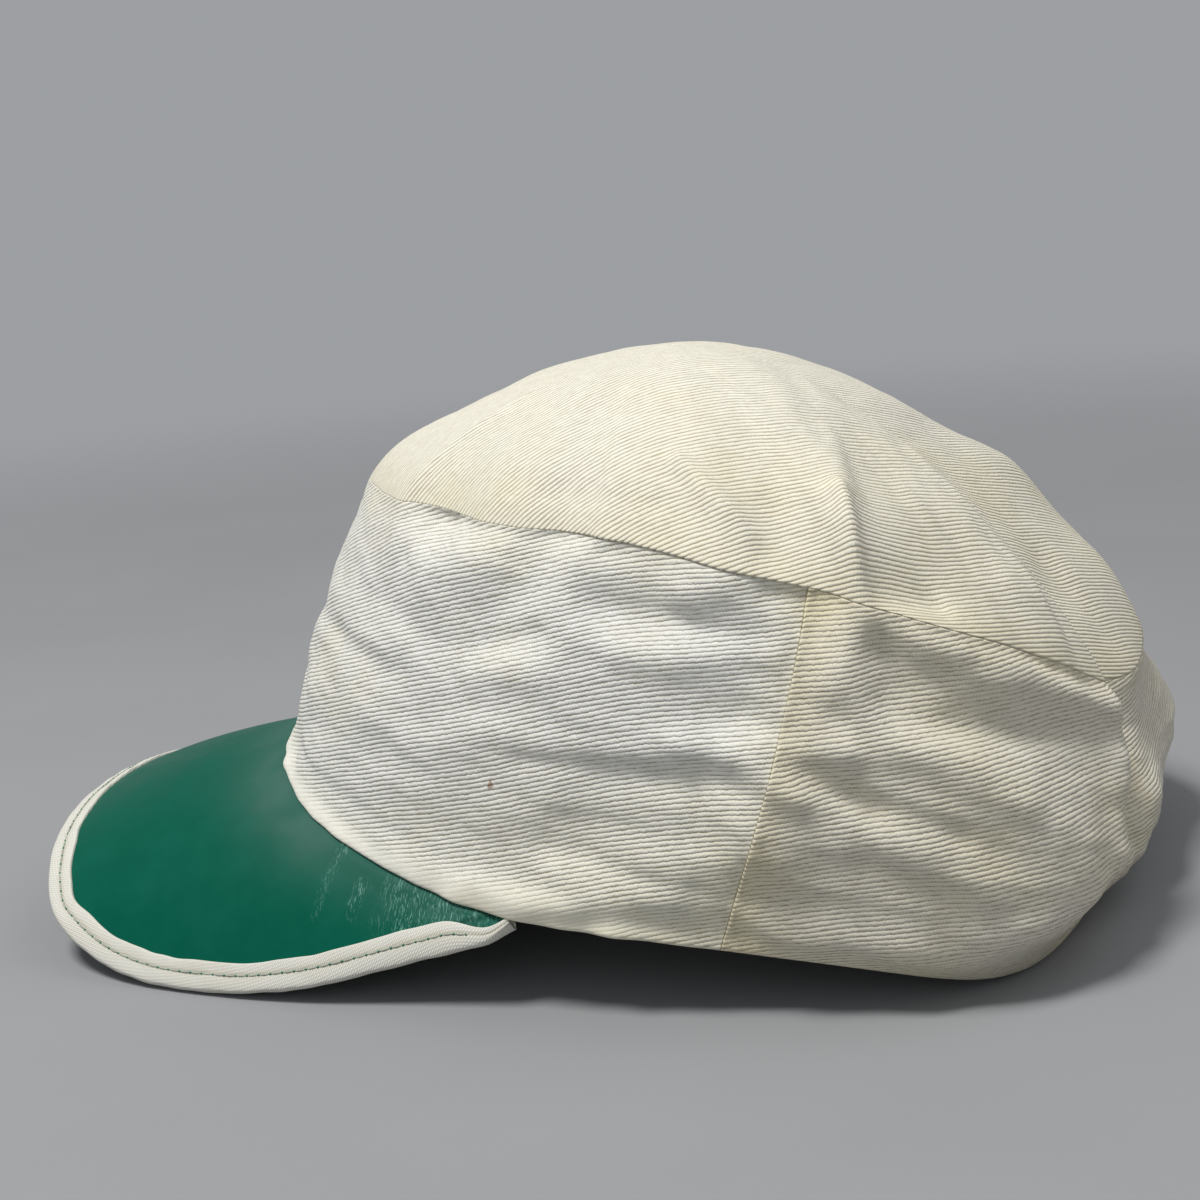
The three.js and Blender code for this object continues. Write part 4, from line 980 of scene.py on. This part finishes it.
def peak_piece():
    us = np.linspace(-PEAK_END, PEAK_END, 361)                     # the corners end out of sight inside the hem
    vs = np.concatenate([[-0.5, 0.0], np.linspace(0.0, 1.0, 61)[1:]])
    Vg, Ug = np.meshgrid(vs, us, indexing="ij")
    M = peak_mid(Ug, np.clip(Vg, 0, 1))
    N = peak_normal(Ug, np.clip(Vg, 0, 1))
    f = peak_frame(us)
    M[0] = f["tuck"] - outward(us * PEAK_SPREAD) * 3.0
    N[0] = [0, 0, 1]
    N[1] = [0, 0, 1]
    under_tape = 1 - smooth(TAPE_WIDE - 1.6, TAPE_WIDE - 0.6, edge_distance(M))
    M = M + tuck_in(M)
    lift = 0.35 * (1 - smooth(0, 0.12, Vg))
    flat = flat_lie(M)
    # soft dents of the bent board, and short creases where it is sewn in at the left
    a, b = flat[..., 0], flat[..., 1]
    h = 0.05 * waves(a, b, 61, 38) * smooth(0.02, 0.15, Vg) * (1 - smooth(0.85, 1.0, Vg))
    sewn = np.exp(-(Vg / 0.45) ** 2)
    back_y = M[..., 1] + 0.35 * (np.abs(M[..., 0]) - 68)
    left, right_ = (Ug > 0).astype(float), (Ug < 0).astype(float)
    crease = left * (sewn * smooth(-44, -36, back_y) + 0.85 * np.exp(-((back_y + 57) / 2.3) ** 2) * (1 - smooth(0.35, 0.6, Vg))
                     + 0.75 * np.exp(-((back_y + 47.5) / 1.8) ** 2) * smooth(0.05, 0.14, Vg) * (1 - smooth(0.28, 0.42, Vg)))
    crease = crease + right_ * (sewn * smooth(-46, -34, back_y) + 0.7 * np.exp(-((back_y + 60) / 2.5) ** 2) * (1 - smooth(0.2, 0.5, Vg)))
    crease = np.clip(crease, 0, 1)
    h = h + 0.05 * waves(a * 2.2, b * 0.25, 62, 12) * crease * smooth(0.0, 0.1, Vg) * (1 - smooth(0.8, 0.95, Vg))
    topg = M + N * (SHEET / 2 + (lift + h) * (1 - under_tape) - 0.45 * under_tape)[..., None]
    under = M - N * (SHEET / 2 - h * (1 - under_tape) - 0.45 * under_tape)[..., None]
    rows, cols = Vg.shape
    n = rows * cols
    verts = np.concatenate([topg.reshape(-1, 3), under.reshape(-1, 3)])
    du, dv = np.gradient(topg, axis=1), np.gradient(topg, axis=0)
    flip = np.cross(du, dv)[..., 2].sum() < 0
    faces = [grid_faces(rows, cols, 0, False, flip), grid_faces(rows, cols, n, False, not flip)]
    ids = np.arange(n).reshape(rows, cols)
    loop = np.concatenate([ids[0, :], ids[1:, -1], ids[-1, -2::-1], ids[-2::-1, 0]])
    faces.append(rim_faces(loop, loop + n, flip))
    uv = flat.reshape(-1, 2) / 100
    c = crease.ravel()
    # where the vinyl carries its painted sheen: along the hem, most on the left side
    sheen_near_hem = (np.exp(-(np.clip(Vg, 0, 1) * f["reach"][None, :, 0] / 15) ** 2) * np.exp(-((Ug - 0.34) / 0.26) ** 2)).ravel()
    sheen_near_hem = np.clip(sheen_near_hem + 0.5 * (np.exp(-(np.clip(Vg, 0, 1) * f["reach"][None, :, 0] / 11) ** 2)).ravel(), 0, 1)
    ob = make_mesh("peak_vinyl_sheet", verts, np.concatenate(faces), np.concatenate([uv, uv + 3]), {"crease": np.concatenate([c, c]), "painted_sheen": np.concatenate([sheen_near_hem, sheen_near_hem * 0])}, vinyl())
    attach(ob, "root")
    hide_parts("peak")
    return ob


def flat_lie(M):
    """Millimetre coordinates on the bent peak: round its arch, and from rear to front."""
    round_ = np.degrees(np.arctan2(M[..., 0], 40 + M[..., 2])) * rad * 85
    return np.stack([round_, M[..., 1]], -1)


def tape_cloth():
    k = Nodes("binding_tape")
    u, v = k.uv()
    u, v = k.math("MULTIPLY", u, 100.0), k.math("MULTIPLY", v, 100.0)
    wob = k.math("MULTIPLY", k.noise(k.vec(k.math("MULTIPLY", u, 0.5), k.math("MULTIPLY", v, 0.5), 1.0), 1.0, 2.0), 0.25)
    # short slanted dashes of the ribbed tape
    a = k.math("ADD", k.math("MULTIPLY", u, 0.80), k.math("MULTIPLY", v, 0.60))
    ph = k.math("DIVIDE", k.math("ADD", a, wob), 0.52)
    f = k.math("FRACT", ph)
    row = k.math("FLOOR", ph)
    ridge = k.math("POWER", k.math("SINE", k.math("MULTIPLY", f, math.pi)), 0.8)
    b = k.math("SUBTRACT", k.math("MULTIPLY", v, 0.80), k.math("MULTIPLY", u, 0.60))
    beat = k.math("MULTIPLY_ADD", k.math("SINE", k.math("MULTIPLY", k.math("ADD", k.math("DIVIDE", b, 1.15), k.math("MULTIPLY", row, 0.5)), 2 * math.pi)), 0.5, 0.5)
    height = k.math("MULTIPLY", ridge, k.math("MULTIPLY_ADD", beat, 0.65, 0.35))
    shade = k.math("MULTIPLY", k.math("SUBTRACT", 1.0, k.ramp(height, 0.0, 0.6)), 0.62)
    patch = k.noise(k.vec(k.math("MULTIPLY", u, 0.05), k.math("MULTIPLY", v, 0.2), 3.0), 1.0, 3.0, 0.6)
    tone = k.mix(k.ramp(patch, 0.4, 0.7, 0.0, 0.6), (0.70, 0.69, 0.63, 1), (0.64, 0.62, 0.53, 1))
    # painted shade: the tape is darker and yellower along the stitch row's groove
    tone = k.mix(k.math("MULTIPLY", k.mark("warm"), 0.8), tone, (0.56, 0.53, 0.42, 1))
    color = k.mix(shade, tone, (0.36, 0.35, 0.30, 1))
    return k.finish(color, height, 0.00012, 0.8, Roughness=0.85, Specular_IOR_Level=0.25, Sheen_Weight=0.1,
                    Sheen_Roughness=0.5)


STITCH_BACK = 4.0         # stitch row, in from the peak's edge
STITCH = 3.1              # stitch length
TAPE_OUT = 1.62           # from the sheet's middle to the tape's outer face


def tape_leg(u):
    u = np.asarray(u, float)
    wide = TAPE_WIDE + 0.2 * waves(u * 170, 0 * u, 77, 24, 8)
    return lerp(wide, 3.2, smooth(0.945, 0.985, np.abs(u)))


def tape_point(u, back, side):
    """A point the distance back from the peak's edge, square to it, and side mm above the sheet's middle."""
    f = peak_frame(u)
    back, side = np.asarray(back, float), np.asarray(side, float)
    flat = f["edge"] - f["out"] * back[..., None]
    # the place on the bent sheet nearest to that point
    uu, vv = np.array(u, float), 1 - (back - TAPE - GAP) / np.maximum(f["across"] - TAPE - GAP, 4.0)
    for _ in range(6):
        r = flat - peak_mid(uu, vv)
        a = (peak_mid(uu + 0.003, vv) - peak_mid(uu - 0.003, vv)) / 0.006
        b = (peak_mid(uu, vv + 0.01) - peak_mid(uu, vv - 0.01)) / 0.02
        aa, ab, bb, ra, rb = (a * a).sum(-1), (a * b).sum(-1), (b * b).sum(-1), (r * a).sum(-1), (r * b).sum(-1)
        det = np.maximum(aa * bb - ab * ab, 1e-3 * aa * bb + 1e-6)
        uu = uu + np.clip((ra * bb - rb * ab) / det, -0.03, 0.03)
        vv = np.clip(vv + np.clip((rb * aa - ra * ab) / det, -0.3, 0.3), -1.5, 1.0)
    follow = smooth(-0.35, -0.02, vv) * (back > TAPE + GAP)
    n = lerp(peak_normal(u, np.ones_like(u)), peak_normal(uu, np.clip(vv, 0.05, 1)), follow[..., None])
    P = lerp(flat, peak_mid(uu, vv), follow[..., None])
    return P + unit(n) * side[..., None] + tuck_in(P)


def binding_piece():
    us = np.linspace(-TAPE_END, TAPE_END, 441)
    leg = tape_leg(us)
    outside = TAPE_OUT
    # section: share of the leg (1 at its end, 0 at the bow) and height in parts of the outer height
    upper = [(1.0, 0.55), (1.0, 0.75), (0.992, 0.88), (0.975, 0.945), (0.95, 0.98), (0.90, 1.0), (0.82, 1.01), (0.74, 1.0), (0.67, 0.99),
             (0.63, 0.965), (0.60, 0.925), (0.575, 0.905), (0.55, 0.91), (0.52, 0.945), (0.48, 0.985), (0.42, 1.01), (0.34, 1.02), (0.25, 1.01)]
    ring = []
    for share, high in upper:
        ring.append((np.maximum(share * leg, TAPE + GAP + 0.01), np.full_like(us, high * outside)))
    for a in np.linspace(0, math.pi, 13)[1:-1]:
        ring.append((np.full_like(us, (TAPE + GAP) * (1 - math.sin(a))) + 1e-4, np.full_like(us, outside * math.cos(a))))
    for share, high in reversed(upper):
        ring.append((np.maximum(share * leg, TAPE + GAP + 0.01), np.full_like(us, -high * outside)))
    G = np.stack([tape_point(us, back, side) for back, side in ring])       # section, station
    f = peak_frame(us)
    flat_u = np.concatenate([[0], np.cumsum(np.linalg.norm(np.diff(f["edge"], axis=0), axis=-1))])
    G = G + 0.06 * waves(np.broadcast_to(flat_u, G.shape[:2]), np.broadcast_to(np.arange(len(ring))[:, None] * 0.5, G.shape[:2]), 71, 9)[..., None] * [0, 0, 1.0]
    rows_n, cols = G.shape[:2]
    step = np.linalg.norm(np.diff(G, axis=0), axis=-1)
    flat_v = np.concatenate([np.zeros((1, cols)), np.cumsum(step, 0)])
    uv = np.stack([np.broadcast_to(flat_u, (rows_n, cols)), flat_v], -1).reshape(-1, 2) / 100
    nrm = np.cross(np.gradient(G, axis=1), np.gradient(G, axis=0))
    flip = nrm[8, :, 2].sum() < 0
    faces = [grid_faces(rows_n, cols, 0, False, flip)]
    # close the section across the sheet and at both ends
    ids = np.arange(rows_n * cols).reshape(rows_n, cols)
    a, b = ids[-1], ids[0]
    back_faces = np.stack([a[:-1], a[1:], b[1:], b[:-1]], -1)
    faces.append(back_faces[:, ::-1] if flip else back_faces)
    ends = [list(ids[:, 0]) if flip else list(ids[::-1, 0]), list(ids[::-1, -1]) if flip else list(ids[:, -1])]
    all_faces = np.concatenate(faces).tolist() + [[int(i) for i in e] for e in ends]
    # the stitch row's groove, painted darker on the tape as shade
    groove = np.exp(-((np.array([r[0].mean() for r in ring]) - STITCH_BACK) / 0.7) ** 2)
    warm = np.broadcast_to(groove[:, None], (rows_n, cols)).ravel()
    ob = make_mesh("peak_binding_tape", G.reshape(-1, 3), all_faces, uv, {"warm": warm}, tape_cloth())
    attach(ob, "root")
    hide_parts("peak_binding")
    return ob


def thread_material(name, light, dark):
    k = Nodes(name)
    u, v = k.uv()
    a = k.math("ADD", k.math("MULTIPLY", u, 900.0), k.math("MULTIPLY", v, 3.0))
    twist = k.math("MULTIPLY_ADD", k.math("SINE", k.math("MULTIPLY", a, 2 * math.pi)), 0.5, 0.5)
    n = k.noise(k.vec(u, v, 0.0), 180.0, 2.0)
    color = k.mix(k.math("MULTIPLY", twist, k.ramp(n, 0.3, 0.7, 0.3, 0.8)), light, dark)
    return k.finish(color, twist, 0.00003, 0.8, Roughness=0.7, Specular_IOR_Level=0.3)


def stitches():
    """One row of lockstitch through the tape, above and below: a pale thread with a green loop at each hole."""
    fine = np.linspace(-0.965, 0.965, 1201)
    parts = []
    outside = TAPE_OUT
    for side in (1, -1):
        back = np.minimum(STITCH_BACK, STITCH_BACK / TAPE_WIDE * tape_leg(fine))
        line = tape_point(fine, back, np.full_like(fine, side * outside * 0.93))
        nrm = peak_normal(fine, np.ones_like(fine)) * side
        run = np.concatenate([[0], np.cumsum(np.linalg.norm(np.diff(line, axis=0), axis=-1))])
        count = int(run[-1] / STITCH)

        def at(d, run=run, line=line, nrm=nrm):
            return (np.stack([np.interp(d, run, line[:, i]) for i in range(3)], -1),
                    unit(np.stack([np.interp(d, run, nrm[:, i]) for i in range(3)], -1)))

        for i in range(count):
            s0 = (i + 0.5) * run[-1] / count
            parts.append((side, s0, at))
    verts, faces, uv, slots = [], [], [], []

    def capsule(path, normals, radii, slot):
        """A closed tube along a few points."""
        n, k = len(path), 7
        tangent = unit(np.gradient(path, axis=0))
        sidev = unit(np.cross(tangent, normals))
        up = np.cross(sidev, tangent)
        base = len(verts)
        for i in range(n):
            for j in range(k):
                a = 2 * math.pi * j / k
                verts.append(path[i] + radii[i] * (math.cos(a) * sidev[i] + math.sin(a) * up[i]))
                uv.append((i * 0.01, j / k))
        verts.append(path[0] - tangent[0] * radii[0] * 0.5)
        uv.append((0, 0))
        verts.append(path[-1] + tangent[-1] * radii[-1] * 0.5)
        uv.append((0, 0))
        for i in range(n - 1):
            for j in range(k):
                a, b = base + i * k + j, base + i * k + (j + 1) % k
                faces.append([a, b, b + k, a + k][::-1])
                slots.append(slot)
        for j in range(k):
            faces.append([base + n * k, base + (j + 1) % k, base + j][::-1])
            slots.append(slot)
            faces.append([base + n * k + 1, base + (n - 1) * k + j, base + (n - 1) * k + (j + 1) % k][::-1])
            slots.append(slot)

    for side, s0, at in parts:
        d = s0 + STITCH * np.linspace(-0.40, 0.40, 6)
        p, n = at(d)
        arch = 0.16 * np.cos(np.linspace(-math.pi / 2, math.pi / 2, 6))
        capsule(p + n * (arch - 0.04)[:, None], n, np.array([0.12, 0.17, 0.19, 0.19, 0.17, 0.12]), 0)
        d = s0 + STITCH * 0.5 + np.linspace(-0.34, 0.34, 4)
        p, n = at(d)
        capsule(p + n * np.array([-0.04, 0.10, 0.10, -0.04])[:, None], n, np.array([0.12, 0.22, 0.22, 0.12]), 1)
    ob = make_mesh("peak_stitching", np.array(verts), faces, np.array(uv), None,
                   [thread_material("pale_thread", (0.46, 0.50, 0.43, 1), (0.28, 0.32, 0.26, 1)),
                    thread_material("green_thread", (0.05, 0.24, 0.16, 1), (0.02, 0.14, 0.09, 1))], face_slot=slots)
    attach(ob, "root")
    return ob


peak = peak_piece()
binding = binding_piece()
sewing = stitches()

# ---- floor, light, camera ---------------------------------------------------------------------
BACK = (0.335, 0.345, 0.360, 1)       # backdrop


def floor_material():
    k = Nodes("studio_floor")
    g = k.tree.nodes.new("ShaderNodeNewGeometry")
    s = k.tree.nodes.new("ShaderNodeSeparateXYZ")
    k.tree.links.new(g.outputs["Position"], s.inputs[0])
    r = k.math("SQRT", k.math("ADD", k.math("POWER", s.outputs[0], 2.0), k.math("POWER", s.outputs[1], 2.0)))
    far = k.ramp(r, 0.28, 1.25)
    d = k.tree.nodes.new("ShaderNodeBsdfDiffuse")
    n = k.noise(k.vec(s.outputs[0], s.outputs[1]), 9.0, 3.0)
    k.put(d.inputs[0], k.mix(k.ramp(n, 0.3, 0.7), (0.285, 0.29, 0.30, 1), (0.275, 0.28, 0.29, 1)))
    e = k.tree.nodes.new("ShaderNodeEmission")
    e.inputs[0].default_value = BACK
    m = k.tree.nodes.new("ShaderNodeMixShader")
    k.put(m.inputs[0], far)
    k.tree.links.new(d.outputs[0], m.inputs[1])
    k.tree.links.new(e.outputs[0], m.inputs[2])
    o = k.tree.nodes.new("ShaderNodeOutputMaterial")
    k.tree.links.new(m.outputs[0], o.inputs[0])
    return k.mat


def floor_piece():
    rings = [0.05, 0.3, 0.6, 1.0, 1.6, 2.5, 5, 12, 40]
    n = 96
    verts = [(0, 0, -0.0002)]
    for r in rings:
        for i in range(n):
            verts.append((r * math.cos(2 * math.pi * i / n), r * math.sin(2 * math.pi * i / n), -0.0002))
    faces = [(0, 1 + i, 1 + (i + 1) % n) for i in range(n)]
    for k in range(len(rings) - 1):
        for i in range(n):
            a, b = 1 + k * n + i, 1 + k * n + (i + 1) % n
            faces.append((a, a + n, b + n, b))
    me = bpy.data.meshes.new("studio_floor")
    me.from_pydata(verts, [], faces)
    me.materials.append(floor_material())
    ob = bpy.data.objects.new("studio_floor", me)
    bpy.context.scene.collection.objects.link(ob)
    return ob


floor_piece()

world = bpy.data.worlds.new("studio")
bpy.context.scene.world = world
world.use_nodes = True
world.node_tree.nodes["Background"].inputs[0].default_value = BACK
world.node_tree.nodes["Background"].inputs[1].default_value = 1.0


def area(name, at, towards, size, power, color=(1, 1, 1)):
    light = bpy.data.lights.new(name, "AREA")
    light.shape = "DISK"
    light.size = size
    light.energy = power
    light.color = color
    ob = bpy.data.objects.new(name, light)
    ob.location = at
    d = Vector(towards) - Vector(at)
    ob.rotation_euler = d.to_track_quat("-Z", "Y").to_euler()
    ob.visible_camera = False
    bpy.context.scene.collection.objects.link(ob)
    return ob


area("key", (0.43, -0.36, 1.46), (0.0, 0.0, 0.06), 0.45, 22.0, (1.0, 0.985, 0.955))
area("fill", (1.4, 0.1, 0.75), (0.0, 0.0, 0.06), 1.0, 1.1, (0.96, 0.985, 1.0))
area("back_light", (-0.3, 0.85, 1.3), (0.0, 0.0, 0.06), 0.9, 2.6, (1.0, 0.99, 0.97))

# the picture's camera: angle round and above the cap, tilt of the resting cap against the picture
AZ, EL, PITCH, DIST, AIM = 12 * rad, 14 * rad, 5.0 * rad, 461.0, np.array([0, -2, 72.0])
away = np.array([math.cos(EL) * math.cos(AZ), math.cos(EL) * math.sin(AZ), math.sin(EL)])
right = np.array([-math.sin(AZ), math.cos(AZ), 0.0])
up = np.cross(away, right)
tilt = np.array([[1, 0, 0], [0, math.cos(PITCH), math.sin(PITCH)], [0, -math.sin(PITCH), math.cos(PITCH)]])
away, right, up = tilt @ away, tilt @ right, tilt @ up
spot = (AIM + DIST * away + CENTRE) * MM
cam = bpy.data.cameras.new("camera")
cam.sensor_width = 36.0
cam.lens = 1845 / 1200 * 36.0
cam.clip_start, cam.clip_end = 0.01, 100.0
cam_ob = bpy.data.objects.new("camera", cam)
cam_ob.matrix_world = Matrix([[right[i], up[i], away[i], spot[i]] for i in range(3)] + [[0, 0, 0, 1]])
bpy.context.scene.collection.objects.link(cam_ob)
bpy.context.scene.camera = cam_ob
bpy.context.scene.view_settings.view_transform = "Standard"
